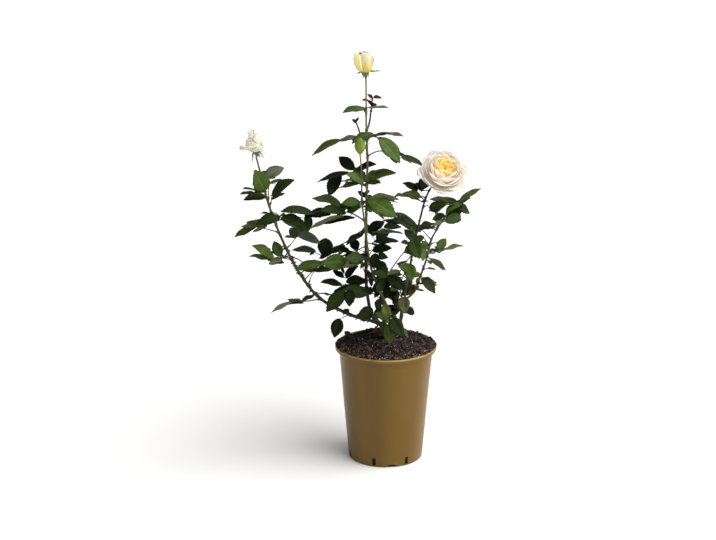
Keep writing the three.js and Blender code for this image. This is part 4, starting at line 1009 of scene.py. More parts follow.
for k, (limb, (foot, length, (r0, r1), lean, drift)) in enumerate(LIMBS.items()):
    low, high = CANE_COLOURS[limb]
    mat = bark_material("bark_" + limb, low, high, lenticel=scaled(high, 1.7) if limb != "cane_right_bloom" else None)
    n = max(30, int(length / 1.6))
    ts = np.linspace(0, 1, n + 1)
    line = np.array([on_limb(limb, t) for t in ts])
    radii = np.array([r0 + (r1 - r0) * t + bumps(limb, t, length) for t in ts])
    h = Heap()
    tube(h, line, radii, 16, 0, number=k / 7, relief=cane_relief(k + 11), dome=0.5)
    # a dormant bud above each leaf's foot, and the ring scar below it
    r = random.Random(300 + k)
    for tn in nodes_on[limb]:
        p, q = on_limb(limb, tn), on_limb(limb, min(1, tn + 0.01))
        d = unit(q - p) if tn < 0.99 else unit(p - on_limb(limb, tn - 0.01))
        s = unit(np.cross(d, (r.uniform(-1, 1), r.uniform(-1, 1), 0.2)))
        rad = on_limb_radius(limb, tn)
        a = p + d * 2.0 + s * rad * 0.9
        tube(h, [a, a + d * 1.2 + s * 0.8, a + d * 2.6 + s * 0.9], [0.9, 0.75, 0.25], 6, 0, number=0.3, span=(0.9, 1.0))
    h.build("bark_" + limb, [mat], slot="green_shoot" if limb == "shoot_centre" else "bark", stands_for=(limb,))

# ------------------------------------------------------------------ prickles
PRICKLES = {"cane_left_lower": (0.15, 0.98, 15), "cane_left_upper": (0.0, 0.42, 46), "cane_centre": (0.05, 0.6, 15),
            "shoot_centre": (0.05, 0.5, 9), "cane_right_bloom": (0.05, 0.7, 12), "cane_right_shoot": (0.1, 0.6, 9)}
prickle_mat = bark_material("prickle", srgb(92, 62, 40), srgb(122, 88, 58), split=(0.3, 1.0), rough=(0.35, 0.5))
h = Heap()
r = random.Random(71)
for limb, (t0, t1, count) in PRICKLES.items():
    for k in range(count):
        t = t0 + (t1 - t0) * (k + r.uniform(0.1, 0.9)) / count
        p = on_limb(limb, t)
        d = unit(on_limb(limb, min(1, t + 0.01)) - on_limb(limb, max(0, t - 0.01)))
        s = unit(np.cross(d, way(r.uniform(0, 360), r.uniform(-30, 30))))
        rad = on_limb_radius(limb, t)
        size = r.uniform(3.0, 5.6) * (1.1 if limb == "cane_left_upper" else 0.85)
        line = smooth_line([p + s * (rad - 0.5), p + s * (rad + size * 0.45) - d * 0.10 * size,
                            p + s * (rad + size * 0.85) - d * 0.5 * size], 5)
        ss = np.linspace(0, 1, 6)
        T, S, B = frames(line)
        sides = 7
        ang = np.arange(sides) * 2 * math.pi / sides
        wide, tall = 0.22 * size, 0.52 * size
        fade = (1 - ss) ** 1.15 + 0.05
        across = unit(np.cross(s, d))
        ring = (line[:, None, :] + np.cos(ang)[None, :, None] * across[None, None, :] * (wide * fade)[:, None, None]
                + np.sin(ang)[None, :, None] * (d - 0.0 * s)[None, None, :] * (tall * fade)[:, None, None])
        co = np.concatenate([ring.reshape(-1, 3), [line[0]], [line[-1] + (line[-1] - line[-2]) * 0.25]])
        idx = np.arange(6 * sides).reshape(6, sides)
        nx = np.roll(idx, -1, axis=1)
        q = np.stack([idx[:-1], nx[:-1], nx[1:], idx[1:]], -1).reshape(-1, 4)
        a, b = 6 * sides, 6 * sides + 1
        tri = [(a, nx[0][i], idx[0][i]) for i in range(sides)] + [(b, idx[-1][i], nx[-1][i]) for i in range(sides)]
        # the ring turns from the width towards the limb's own direction, so the outward side depends on their sense
        if float(np.cross(across, d) @ s) < 0:
            q, tri = q[:, ::-1], [x[::-1] for x in tri]
        mk = np.concatenate([np.stack([np.repeat(ss, sides), np.tile(ang / 6.2832, 6), np.full(6 * sides, 0.5)], 1), [[0, 0, 0.5]], [[1, 0, 0.5]]])
        h.add(co, mk, quads=q, tris=tri)
h.build("prickles", [prickle_mat], slot="bark")

JOINT_AT = (64.7, 356.5)     # x and z of its middle
# the corky joint low on the right shoot, where an older side branch was shed
h = Heap()
d0 = [float(np.linalg.norm(np.array(on_limb("cane_right_shoot", q / 200))[[0, 2]] - np.array(JOINT_AT))) for q in range(200)]
tj = int(np.argmin(d0)) / 200
p, d = on_limb("cane_right_shoot", tj), unit(on_limb("cane_right_shoot", tj + 0.02) - on_limb("cane_right_shoot", tj - 0.02))
tube(h, smooth_line([p - d * 9.5, p - d * 4.0 + np.array((-0.8, 0, 0)), p + d * 2.0 + np.array((-1.4, 0, 0)), p + d * 6.5], 14),
     [1.5 + 2.5 * math.sin(math.pi * (q / 14) ** 0.9) ** 1.2 for q in range(15)], 14, 0, number=0.6, relief=cane_relief(77, 0.16), dome=0.5)
tube(h, smooth_line([p - d * 3.0, p - d * 1.0 + np.array((-3.4, -1.6, 1.0)), p + d * 1.5 + np.array((-5.6, -2.2, 3.4))], 8), np.linspace(2.0, 1.1, 9), 10, 0, number=0.3,
     relief=cane_relief(78, 0.14), dome=0.6)
h.build("corky_joint", [bark_material("bark_corky", srgb(112, 82, 38), srgb(176, 150, 84), split=(0.2, 0.8), streak=0.5, rough=(0.6, 0.8), specular=0.2)], slot="bark")


# ------------------------------------------------------------------ flowers
(HEART, HEART_OUT, MIDDLE, MIDDLE_OUT, OUTER, OUTER_OUT, SEPAL, SEPAL_IN, HIP, BUD_IN, BUD_OUT, BUD_GREY,
 PALE, PALE_OUT, PEACH, SCORCH_AND_SHADE, GREEN_SEPAL, GREEN_HIP, HIP_LIGHT, BUD_SIDE) = range(20)
FLOWER_MATS = [
    petal_material("petal_heart", srgb(238, 178, 38), srgb(251, 213, 86), srgb(250, 227, 146), foot_to=0.92, painted_glow=(1.0, 0.70, 0.18), strength=0.15),
    petal_material("petal_heart_back", srgb(242, 195, 64), srgb(251, 223, 120), srgb(250, 232, 170), foot_to=0.84, painted_glow=(1.0, 0.74, 0.27), strength=0.14),
    petal_material("petal_middle", srgb(240, 203, 122), srgb(246, 226, 192), srgb(246, 232, 218), foot_to=0.85, painted_glow=(1.0, 0.80, 0.56), strength=0.10),
    petal_material("petal_middle_back", srgb(238, 209, 150), srgb(247, 230, 210), srgb(246, 233, 226), foot_to=0.6, painted_glow=(1.0, 0.86, 0.70), strength=0.09),
    petal_material("petal_outer", srgb(214, 192, 122), srgb(241, 230, 215), srgb(239, 230, 228), foot_to=0.64, painted_glow=(1.0, 0.92, 0.86), strength=0.05),
    petal_material("petal_outer_back", srgb(220, 206, 126), srgb(240, 230, 212), srgb(238, 228, 226), foot_to=0.5, painted_glow=(1.0, 0.93, 0.86), strength=0.05),
    leaf_material("sepal_back", srgb(58, 70, 44), srgb(96, 108, 70), rough=(0.5, 0.66), specular=0.2, rib=0.3, side_rib=0.1),
    leaf_material("sepal_face", srgb(118, 128, 100), srgb(140, 148, 116), rough=(0.6, 0.75), specular=0.2, rib=0.3, side_rib=0.1),
    bark_material("hip_green", srgb(98, 104, 56), srgb(112, 116, 66), rough=(0.4, 0.56), specular=0.25),
    petal_material("bud_petal", srgb(236, 196, 60), srgb(235, 220, 158), srgb(232, 223, 200), foot_to=0.7, painted_glow=(1.0, 0.90, 0.52), strength=0.06),
    petal_material("bud_petal_back", srgb(238, 188, 34), srgb(234, 217, 150), srgb(230, 218, 190), foot_to=0.66, foot_from=0.16, lip_from=0.62, painted_glow=(1.0, 0.88, 0.46), strength=0.07),
    petal_material("bud_petal_weathered", srgb(182, 174, 112), srgb(229, 223, 192), srgb(210, 207, 186), foot_to=0.5, lip_from=0.8, blotch=srgb(200, 196, 160), painted_glow=(1.0, 0.94, 0.74), strength=0.05),
    petal_material("bud_pale", srgb(214, 208, 140), srgb(235, 236, 220), srgb(240, 222, 210), foot_to=0.4, lip_from=0.6, painted_glow=(1.0, 0.95, 0.84), strength=0.09),
    petal_material("bud_pale_back", srgb(204, 200, 126), srgb(232, 235, 216), srgb(238, 216, 204), foot_to=0.4, lip_from=0.62, blotch=srgb(220, 226, 200), painted_glow=(1.0, 0.95, 0.84), strength=0.09),
    petal_material("bud_peach", srgb(222, 208, 150), srgb(241, 222, 184), srgb(243, 228, 206), foot_to=0.35, painted_glow=(1.0, 0.90, 0.70), strength=0.07),
    # dark brown strips on petal edges, partly browned margins and partly painted shade between petals
    petal_material("petal_scorch_and_shade", srgb(128, 104, 76), srgb(88, 70, 54), srgb(74, 58, 46), foot_to=0.3),
    leaf_material("green_bud_sepal", srgb(108, 128, 44), srgb(152, 166, 84), rough=(0.5, 0.66), specular=0.2, mottle=0.28, rib=0.35, side_rib=0.1, rim=srgb(108, 126, 48)),
    bark_material("green_bud_hip", srgb(120, 140, 48), srgb(150, 168, 68), rough=(0.45, 0.6), specular=0.2, streak=0.2),
    bark_material("hip_pale", srgb(96, 118, 66), srgb(158, 172, 118), split=(0.2, 0.9), streak=0.4, rough=(0.45, 0.6), specular=0.2),
    petal_material("bud_petal_side", srgb(226, 196, 84), srgb(234, 222, 146), srgb(234, 226, 176), foot_to=0.6, blotch=srgb(222, 208, 132), painted_glow=(1.0, 0.90, 0.52), strength=0.06),
]
FLOWERS = {
    "bloom_right": ("cane_right_bloom", -78, 43), "bud_top": ("cane_centre", 200, 85),
    "bud_left": ("cane_left_upper", -160, 78), "bud_green": ("shoot_centre", 90, 88),
}


class Seat:
    """A flower's own axes on its limb: Z along it, X as near the frame's X as may be."""

    def __init__(self, name, shift=(0.0, 0.0, 0.0)):
        limb, bearing, rise = FLOWERS[name]
        self.o = LINES[limb][FINE] + np.array(shift)
        self.z = way(bearing, rise)
        self.x = unit(np.array((1.0, 0, 0)) - self.z[0] * self.z)
        self.y = np.cross(self.z, self.x)
        self.d = unit(LINES[limb][FINE] - LINES[limb][FINE - 2])
        self.r = LIMBS[limb][2][1]

    def at(self, x, y, z):
        return self.o + np.multiply.outer(x, self.x) + np.multiply.outer(y, self.y) + np.multiply.outer(z, self.z)


def petal(heap, seat, phi, profile, width, mat_in, mat_out, seed, top=0.20, ruffle=0.8, flare=0.0, notch=0.02,
          ns=12, nt=13, claw=0.22, wrap=1.35, thick=0.28, skew=0.0, crimp=0.0, broad=0.62, point=0.0):
    """A petal as a piece of a cup round the flower's axis: it widens from its claw, follows a profile of
    (radius, height) and rounds off at its lip, whose edge rolls, dips and ruffles."""
    r = random.Random(seed * 17 + 3)
    prof = smooth_line([(a, b, 0.0) for a, b in profile], 40)
    s = np.linspace(-1, 1, ns + 1)[None, :]
    t = np.linspace(0, 1, nt + 1)[:, None]
    tmax = (1 - top * np.abs(s) ** 2.6 - notch * np.exp(-(s / 0.16) ** 2) + point * np.exp(-np.abs(s) / 0.22)) / (1 + point)
    tt = t * tmax
    rr = np.interp(tt, np.linspace(0, 1, 41), prof[:, 0])
    zz = np.interp(tt, np.linspace(0, 1, 41), prof[:, 1])
    half = width / 2 * (claw + (1 - claw) * np.sin(np.pi / 2 * np.minimum(1, tt / broad)) ** 0.9)
    half = half * (1 - 0.10 * np.maximum(0, tt - 0.8) / 0.2)
    ang = np.clip(half / np.maximum(rr, 2.2), 0, wrap) * s
    ph1, ph2 = r.uniform(0, 6.28), r.uniform(0, 6.28)
    wob = ruffle * (np.sin(3.4 * s + ph1) + 0.5 * np.sin(7.1 * s + ph2)) * tt ** 3
    rr = rr + flare * np.abs(s) ** 2 * tt ** 2 + 0.7 * wob + crimp * np.sin(5.5 * s + ph2) * tt
    zz = zz + 0.8 * wob + skew * s * tt
    a = math.radians(phi + r.uniform(-4, 4)) + ang
    P = seat.at(rr * np.cos(a), rr * np.sin(a), zz)
    mark = np.stack([tt + 0 * s, s + 0 * t, np.full(tt.shape, r.random())], -1)
    th = thick * (1.15 - 0.55 * tt)
    sheet(heap, P, th, th, mark, mat_in, mat_out)


def hip(heap, seat, length, radius, mat=HIP):
    """The urn under a flower, drawn out of the stem."""
    n = 10
    s = np.linspace(0, 1, n + 1)
    line = np.array([seat.o - seat.d * 1.5 + (seat.d * 1.5) * min(1, k / n * 3) + seat.z * (length * k / n) for k in range(n + 1)])
    rad = seat.r * 1.05 + (radius - seat.r) * np.sin(np.pi * np.clip(s, 0, 1) ** 0.9 * 0.72) ** 1.5
    tube(heap, line, rad, 14, mat, number=0.4, dome=0.2)


def sepals(heap, seat, z0, r0, shapes):
    for k, (phi, length, width, reach, drop, curl) in enumerate(shapes):
        prof = [(r0 * 0.5, z0), (r0 + reach * 0.25, z0 + 0.6), (r0 + reach * 0.62, z0 - drop * 0.35),
                (r0 + reach, z0 - drop), (r0 + reach + curl, z0 - drop - abs(curl) * 0.4)]
        petal(heap, seat, phi, prof, width, SEPAL_IN, SEPAL, 400 + k, top=0.0, ruffle=0.3, ns=4, nt=12, claw=1.0,
              thick=0.3, wrap=0.8, notch=0.0, broad=0.2)


# sepals are narrow blades, so they taper by hand
def sepal(heap, seat, phi, points, width, seed, roll=0.0):
    """A sepal through (radius, height) points in the plane at phi, tapering to a thread, with a few side teeth."""
    r = random.Random(seed)
    line2 = smooth_line([(a, b, 0.0) for a, b in points], 14)
    a = math.radians(phi)
    rad = math.cos(a) * seat.x + math.sin(a) * seat.y
    tan = -math.sin(a) * seat.x + math.cos(a) * seat.y
    s = np.linspace(0, 1, 15)
    w = width / 2 * (0.9 * (1 - s) ** 0.75 + 0.06) * (1 + 0.18 * np.sin(17 * s + r.uniform(0, 6)) * (s > 0.3))
    mid = seat.o[None, :] + line2[:, 0:1] * rad + line2[:, 1:2] * seat.z
    sway = (r.uniform(-1.5, 1.5) * s ** 2)[:, None] * tan
    v = np.array((-1.0, -0.5, 0.0, 0.5, 1.0))
    T = np.gradient(mid, axis=0)
    T /= np.linalg.norm(T, axis=1, keepdims=True)
    N = np.cross(T, tan)
    cr, sr = math.cos(math.radians(roll)), math.sin(math.radians(roll))
    tan, N = cr * tan + sr * N, cr * N - sr * tan
    P = mid[:, None, :] + sway[:, None, :] + v[None, :, None] * w[:, None, None] * tan[:, None, :] + (0.22 * np.abs(v)[None, :, None] * w[:, None, None]) * N[:, None, :]
    mark = np.stack([s[:, None] + 0 * v, v + 0 * s[:, None], np.full((15, 5), r.random())], -1)
    sheet(heap, P, 0.25, 0.25, mark, SEPAL_IN, SEPAL)


NOD = (17.0, -1.3, 13.4)      # from the cane's tip to the foot of the open flower, along its bent neck

# --- the open bloom: broad guard petals round a cup, and a folded heart that stands a little above it
seat = Seat("bloom_right", shift=NOD)
h = Heap()
tip = LINES["cane_right_bloom"][FINE]
neck = smooth_line([tip - seat.d * 3.0, tip, tip + seat.d * 6.0 + (seat.o - tip) * 0.22, seat.o - seat.z * 3.5, seat.o + seat.z * 0.8], 22)
tube(h, neck, np.linspace(seat.r * 1.02, seat.r * 1.3, 23), 14, HIP, number=0.4, dome=0.3)
keep_o, keep_d = seat.o, seat.d
seat.d = seat.z
hip(h, seat, 9.5, 5.8)
r = random.Random(5)
LAYERS = [
    # count, first bearing, profile, width, inner material, outer material, lip round-off, ruffle, flare
    (5, 187, [(3, 9), (18, 13.5), (31, 20), (40, 28), (45.0, 33.5), (48.0, 34.0), (49.8, 31)], 58, OUTER, OUTER_OUT, 0.30, 2.8, 1.6),
    (5, 226, [(3, 9.5), (16, 15.0), (29, 24.5), (38, 34), (42, 40.5), (43.8, 42.6), (46.0, 40.8)], 58, OUTER, OUTER_OUT, 0.26, 2.4, 1.2),
    (4, 250, [(3, 10), (15, 17), (27, 28), (34.5, 39), (37.0, 46.0), (37.2, 49.0), (39.8, 48.6)], 58, OUTER, OUTER_OUT, 0.24, 2.0, 0.8),
    (4, 222, [(3, 10), (15, 18.5), (26, 31), (31, 42), (31.6, 49.5), (30.6, 53.2), (32.6, 53.4)], 52, OUTER, OUTER_OUT, 0.22, 1.9, 0.3),
    (4, 276, [(3, 10), (13, 20), (22, 33), (26.0, 44), (25.8, 52), (24.6, 55.6), (26.0, 56.6)], 42, MIDDLE, OUTER_OUT, 0.20, 1.8, -0.2),
    (4, 312, [(3, 11), (11, 21), (17.5, 35), (20.4, 46), (19.8, 53.5), (19.0, 57.0)], 32, MIDDLE, MIDDLE_OUT, 0.20, 1.9, -0.4),
    (3, 20, [(2, 14), (7, 25), (10.6, 38), (12.4, 49), (12.0, 55.0), (11.2, 57.4)], 22, HEART, HEART_OUT, 0.16, 1.8, -0.6),
    (3, 70, [(1, 16), (3.6, 27), (6.0, 40), (6.8, 50), (6.4, 55.5), (6.0, 57)], 13, HEART, HEART_OUT, 0.14, 1.2, 0.0),
]
for li, (count, first, prof, width, mi, mo, top, ruf, flare) in enumerate(LAYERS):
    for k in range(count):
        g = 1 + r.uniform(-0.05, 0.05)
        dz = r.uniform(-3.0, 2.4)
        zt = prof[-1][1]
        pr = [(a * (1 + (g - 1) * b / zt), b + dz * max(0.0, b / zt - 0.3)) for a, b in prof]
        petal(h, seat, first + k * 360 / count + r.uniform(-9, 9), pr, width * r.uniform(0.92, 1.08), mi, mo, 40 * li + k,
              top=top * r.uniform(0.8, 1.25), ruffle=ruf, flare=flare, skew=r.uniform(-2.2, 2.2), notch=r.uniform(0.0, 0.06),
              crimp=0.9 if li > 4 else 0.3, ns=16, nt=16, thick=0.42, point=(0.09, 0.08, 0.07, 0.05, 0.04, 0.03, 0, 0)[li])
# folded petaloids standing across the heart, each turned its own way
for k in range(13):
    phi = k * 137.5 + 20
    rad = 2.6 + 12.4 * math.sqrt((k + 0.5) / 13)
    pr = [(rad * 0.5, 26), (rad * 0.92, 40), (rad * 1.04, 49), (rad * 0.98 + 0.3, 56.0 + r.uniform(-5.4, 1.4))]
    petal(h, seat, phi, pr, 12.5 + rad * 0.75, HEART, HEART_OUT, 900 + k, top=0.14, ruffle=1.8, crimp=1.3, wrap=0.95, ns=12, nt=10, thick=0.4)
for k, phi in enumerate((196, 262, 330, 48, 128)):
    sepal(h, seat, phi, [(2.5, 9), (8, 8.2), (15, 5.5), (21, -1.0), (24, -9 - 2 * (k % 2))], 7.0, 60 + k)
h.build("bloom_right_petals", FLOWER_MATS, slot="petals", stands_for=("bloom_right",))

# --- the top bud, half open, its outermost petal standing off to the left
seat = Seat("bud_top")
h = Heap()
hip(h, seat, 15.0, 4.9, HIP_LIGHT)
for k in range(3):
    petal(h, seat, 40 + 120 * k, [(1.5, 16), (6.4, 24), (7.8, 35), (6.8, 44), (5.0, 49.4), (4.8, 51.4)], 25, BUD_IN, BUD_OUT, 500 + k, wrap=1.5, top=0.14, ruffle=0.9)
for k, phi in enumerate((318, 72, 196)):
    petal(h, seat, phi, [(2.5, 13.4), (9.6, 16.5), (13.0, 26), (12.8, 37), (11.0, 45), (8.6, 49.0), (8.8, 50.8)], 36, BUD_IN, BUD_OUT, 510 + k, wrap=1.6, top=0.15, ruffle=0.8, skew=(-1.0, 0, 0.6)[k])
petal(h, seat, 110, [(3, 12.6), (11.0, 14.8), (15.2, 24), (15.4, 36), (13.6, 43.5), (12.6, 47.6), (13.8, 49.4)], 42, BUD_IN, BUD_OUT, 520, wrap=1.5, top=0.16, ruffle=1.0)
petal(h, seat, 22, [(3, 12.4), (10.6, 14.4), (15.4, 22), (17.0, 30), (16.4, 36), (15.0, 40.0), (16.2, 41.4)], 37, BUD_IN, BUD_OUT, 521, wrap=1.4, top=0.26, ruffle=1.0, skew=-1.4)
petal(h, seat, 284, [(3, 12.0), (10.6, 13.4), (15.6, 21.5), (16.6, 32), (14.6, 42.0), (11.4, 48.0), (11.6, 50.6)], 46, BUD_IN, BUD_OUT, 522, wrap=1.5, top=0.20, ruffle=0.9, skew=-3.4)
petal(h, seat, 194, [(3, 12.8), (11.5, 14.8), (17.2, 20), (20.0, 29), (20.8, 39), (19.8, 47.4), (18.6, 52.6)], 42, BUD_SIDE, BUD_SIDE, 530, top=0.12, ruffle=0.8, wrap=1.0)
# dark brown strips: the one at 350 is a browned margin on the right petal and partly painted shade, the one at 236 is
# painted shadow between the petals at the top
petal(h, seat, 350, [(17.4, 30), (18.2, 34), (17.7, 38), (16.4, 42.5)], 4.5, SCORCH_AND_SHADE, SCORCH_AND_SHADE, 531, top=0.1, ruffle=0.3, claw=0.8, ns=6, nt=8)
petal(h, seat, 236, [(13.0, 48.2), (12.2, 49.8), (11.2, 51.4)], 5.5, SCORCH_AND_SHADE, SCORCH_AND_SHADE, 532, top=0.1, ruffle=0.3, claw=0.8, ns=6, nt=6)
for k, (phi, pts, wide) in enumerate(((356, [(3, 14.2), (8, 13.2), (15, 11.6), (24, 12.0), (31, 11.2)], 7.6), (184, [(3, 14.2), (8, 12.8), (13, 10.8), (18, 9.8)], 6.4),
                                      (232, [(4, 14.2), (8.4, 12.2), (8.2, 7.0), (5.6, 0.5)], 6.8), (306, [(4, 14.2), (8.2, 12.0), (8.4, 7), (6.4, 1)], 6.0),
                                      (85, [(4, 14.2), (9, 12.4), (13, 8), (16, 3)], 6.0))):
    sepal(h, seat, phi, pts, wide, 80 + k, roll=(32, -40, 0, 0, 0)[k])
h.build("bud_top_petals", FLOWER_MATS, slot="petals", stands_for=("bud_top",))

# --- the left bud, with one petal fallen back to the left
seat = Seat("bud_left", shift=(1.4, 0.0, 6.4))
h = Heap()
tip = LINES["cane_left_upper"][FINE]
neck = smooth_line([tip - seat.d * 3.0, tip, seat.o, seat.o + seat.z * 1.0], 12)
tube(h, neck, np.linspace(seat.r * 1.02, seat.r * 1.2, 13), 12, HIP_LIGHT, number=0.4, dome=0.3)
hip(h, seat, 7.0, 6.0, HIP)
for k in range(3):
    petal(h, seat, 250 + 120 * k, [(1.5, 9), (5.5, 16), (7.6, 27), (7.0, 38), (6.4, 46.0), (7.2, 48.6)], 25, PALE, PALE_OUT, 600 + k, wrap=1.4, top=0.16, ruffle=0.9, notch=0.08)
for k, phi in enumerate((342, 90, 206)):
    petal(h, seat, phi, [(2.5, 8), (10, 12), (13.6 + 2.2 * (k == 0), 20), (12.4 + 3.2 * (k == 0), 29), (9.8 + 1.6 * (k == 0), 36.5), (9.6, 40.0)], 34, PEACH if k == 0 else PALE, PEACH if k == 0 else PALE_OUT, 610 + k, wrap=1.5, top=0.16, ruffle=0.9)
for k, (phi, top_z) in enumerate(((24, 29), (140, 30), (252, 29.5))):
    petal(h, seat, phi, [(3, 7.0), (12, 9.0), (16.8, 15), (17.0, 22), (15.0, top_z - 3), (15.4, top_z)], 37, PALE, PALE_OUT, 620 + k, wrap=1.3, top=0.24, ruffle=1.0)
# two narrow dark brown strips along petal edges
petal(h, seat, 250, [(10.4, 33.0), (10.4, 35.2), (9.8, 37.2)], 5, SCORCH_AND_SHADE, SCORCH_AND_SHADE, 633, top=0.1, ruffle=0.3, claw=0.8, ns=6, nt=6)
petal(h, seat, 205, [(7.6, 43.0), (8.3, 45.0), (8.6, 47.0)], 4, SCORCH_AND_SHADE, SCORCH_AND_SHADE, 634, top=0.1, ruffle=0.3, claw=0.8, ns=6, nt=6)
petal(h, seat, 236, [(3, 6.6), (11, 9.4), (17, 15.2), (22, 21.4), (26.5, 24.6), (29.6, 23.6), (30.4, 20.4)], 50, BUD_GREY, BUD_GREY, 630, top=0.30, ruffle=1.2, wrap=1.0, notch=0.03, thick=0.4)
petal(h, seat, 216, [(3, 6.4), (11, 8.6), (17, 13.6), (21.5, 19.0), (25.5, 22.6), (28.6, 22.8), (30.4, 20.6), (30.4, 17.4)], 40, BUD_GREY, BUD_GREY, 635, top=0.30, ruffle=1.0, wrap=0.8, notch=0.02, thick=0.4)
petal(h, seat, 292, [(3, 6.4), (11, 8.0), (16, 11.4), (18.5, 16.0), (20, 20.6)], 34, BUD_GREY, BUD_GREY, 636, top=0.36, ruffle=1.0, wrap=0.8, notch=0.02, thick=0.4)
for k, (phi, pts, wide) in enumerate(((212, [(3, 6.6), (7.5, 3.0), (9.6, -3), (12.5, -12)], 8.6), (262, [(3, 6.4), (6.5, 3.4), (7.0, -1.5), (6.0, -6)], 7.0),
                                      (330, [(3, 6.4), (7.5, 3.6), (10.0, -2.5), (14.5, -10)], 7.0), (8, [(3, 6.6), (9, 5.8), (13, 1.0), (15.5, -5)], 7.0),
                                      (95, [(3, 6.4), (9, 5), (12, -2), (14, -9)], 7.0), (298, [(3, 6.6), (7, 4.5), (8.4, -1), (10.5, -5.5)], 6.0))):
    sepal(h, seat, phi, pts, wide, 90 + k)
h.build("bud_left_petals", FLOWER_MATS, slot="petals", stands_for=("bud_left",))

# --- the green bud, its sepals still closed over the petals
seat = Seat("bud_green", shift=(-0.6, 0.0, 5.6))
h = Heap()
tip = LINES["shoot_centre"][FINE]
tube(h, smooth_line([tip - seat.d * 3.0, tip, seat.o, seat.o + seat.z * 2.0], 12), np.linspace(seat.r * 1.02, seat.r * 1.25, 13), 12, GREEN_HIP, number=0.4, dome=0.3)
n = 16
s = np.linspace(0, 1, n + 1)
body = np.array([seat.o + seat.z * (29.5 * k / n) for k in range(n + 1)])
rad = 1.4 + 8.6 * np.sin(np.pi * np.clip(s * 0.97 + 0.02, 0, 1) ** 0.92) ** 0.85 * (1 - 0.18 * s)
rad[-1] = 1.0
tube(h, body, rad, 20, GREEN_HIP, number=0.6, relief=lambda a, b: 1 + 0.05 * np.cos(5 * b) * np.sin(np.pi * a), dome=0.4)
for k in range(5):
    petal(h, seat, 20 + 72 * k, [(3.0, 4.5), (9.0, 9.5), (10.2, 15), (8.8, 21.5), (4.8, 27), (2.2, 31.0)], 13.5, GREEN_SEPAL, GREEN_SEPAL, 700 + k,
          top=0.0, ruffle=0.15, wrap=0.76, ns=6, nt=14, claw=0.9, thick=0.35, notch=0.0, broad=0.3)
h.build("bud_green_sepals", FLOWER_MATS, slot="green_bud", stands_for=("bud_green",))

for side, h in stalk_heaps.items():
    h.build("leaf_stalks_" + side, STALK_MATS, slot="green_shoot")


# ------------------------------------------------------------------ graft union
def welded_knuckle():
    """The knuckle that the canes spring from: a few rounded lumps welded into one skin, then roughened."""
    x, y, z, big, shank = KNUCKLE
    lumps = [((x, y, z), (big * 1.28, big * 1.02, big * 1.0)), ((x - 8, y + 3, z + 2), (8, 7, 7)), ((x + 9, y - 3, z + 1), (7.5, 7, 6.5)),
             ((x + 2, y - 7, z - 1), (7, 6.5, 7)), ((x, y, z - 14), (shank * 1.08, shank * 1.0, 15)), ((x - 5, y - 6, z - 6), (5, 5, 7)),
             ((x + 6, y + 7, z + 3), (6, 5.5, 6.5))]
    for limb in ("cane_left_lower", "cane_centre", "shoot_centre", "cane_right_base"):
        p = on_limb(limb, 0.0)
        q = on_limb(limb, 6.0 / LIMBS[limb][1])
        rr = LIMBS[limb][2][0]
        lumps.append((tuple(p), (rr * 1.7,) * 3))
        lumps.append((tuple(q), (rr * 1.35,) * 3))
    # stumps of old wood, cut back
    lumps += [((x + 11, y + 8, z + 8), (4.4, 4.4, 7.5)), ((x - 6, y + 10, z + 8), (3.6, 3.6, 6.0))]
    bits = []
    for c, rad in lumps:
        bpy.ops.mesh.primitive_ico_sphere_add(subdivisions=4, radius=1.0, location=(0, 0, 0))
        o = bpy.context.object
        for v in o.data.vertices:
            v.co = Vector([c[k] * 0.001 + v.co[k] * rad[k] * 0.001 for k in range(3)])
        bits.append(o)
    with bpy.context.temp_override(active_object=bits[0], selected_editable_objects=bits, object=bits[0], selected_objects=bits):
        bpy.ops.object.join()
    o = bits[0]
    m = o.modifiers.new("weld", "REMESH")
    m.mode = "VOXEL"
    m.voxel_size = 0.0007
    s = o.modifiers.new("soften", "SMOOTH")
    s.factor, s.iterations = 0.6, 8
    dg = bpy.context.evaluated_depsgraph_get()
    me = bpy.data.meshes.new_from_object(o.evaluated_get(dg))
    co = np.array([v.co for v in me.vertices]) * 1000
    no = np.array([v.normal for v in me.vertices])
    rr = random.Random(9)
    rough = np.zeros(len(co))
    for k in range(26):
        f = rr.uniform(0.15, 1.3)
        d = way(rr.uniform(0, 360), rr.uniform(-25, 25)) * f
        rough += np.sin(co @ d + rr.uniform(0, 6.28)) * 0.11 / (0.4 + f)
    crack = -0.55 * np.exp(-(np.sin(0.55 * co[:, 0] + 0.35 * co[:, 1] + 0.9 * np.sin(0.33 * co[:, 2])) / 0.22) ** 2)
    co = co + no * (rough + crack)[:, None]
    co[:, 2] = np.maximum(co[:, 2], SOIL_EDGE_Z - 6)
    me.vertices.foreach_set("co", (co * 0.001).astype(np.float32).ravel())
    at = me.attributes.new("mark", "FLOAT_VECTOR", "POINT")
    at.data.foreach_set("vector", np.stack([np.clip((co[:, 2] - 225) / 50, 0, 1), co[:, 0] * 0.1, np.full(len(co), 0.4)], 1).astype(np.float32).ravel())
    me.polygons.foreach_set("use_smooth", np.full(len(me.polygons), True))
    me.update()
    bpy.data.objects.remove(o)
    me.materials.clear()
    me.materials.append(bark_material("bark_old", srgb(46, 36, 26), srgb(64, 58, 36), split=(0.3, 0.9), streak=0.55, rough=(0.6, 0.8), lenticel=srgb(92, 80, 58)))
    ob = bpy.data.objects.new("graft_knuckle", me)
    bpy.context.scene.collection.objects.link(ob)
    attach(ob, "root")
    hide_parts("graft_union")
    return ob


welded_knuckle()


# ------------------------------------------------------------------ pot
def wall_r(z):
    return BASE_R + (NECK_R - BASE_R) * z / (POT_H - LIP_H)


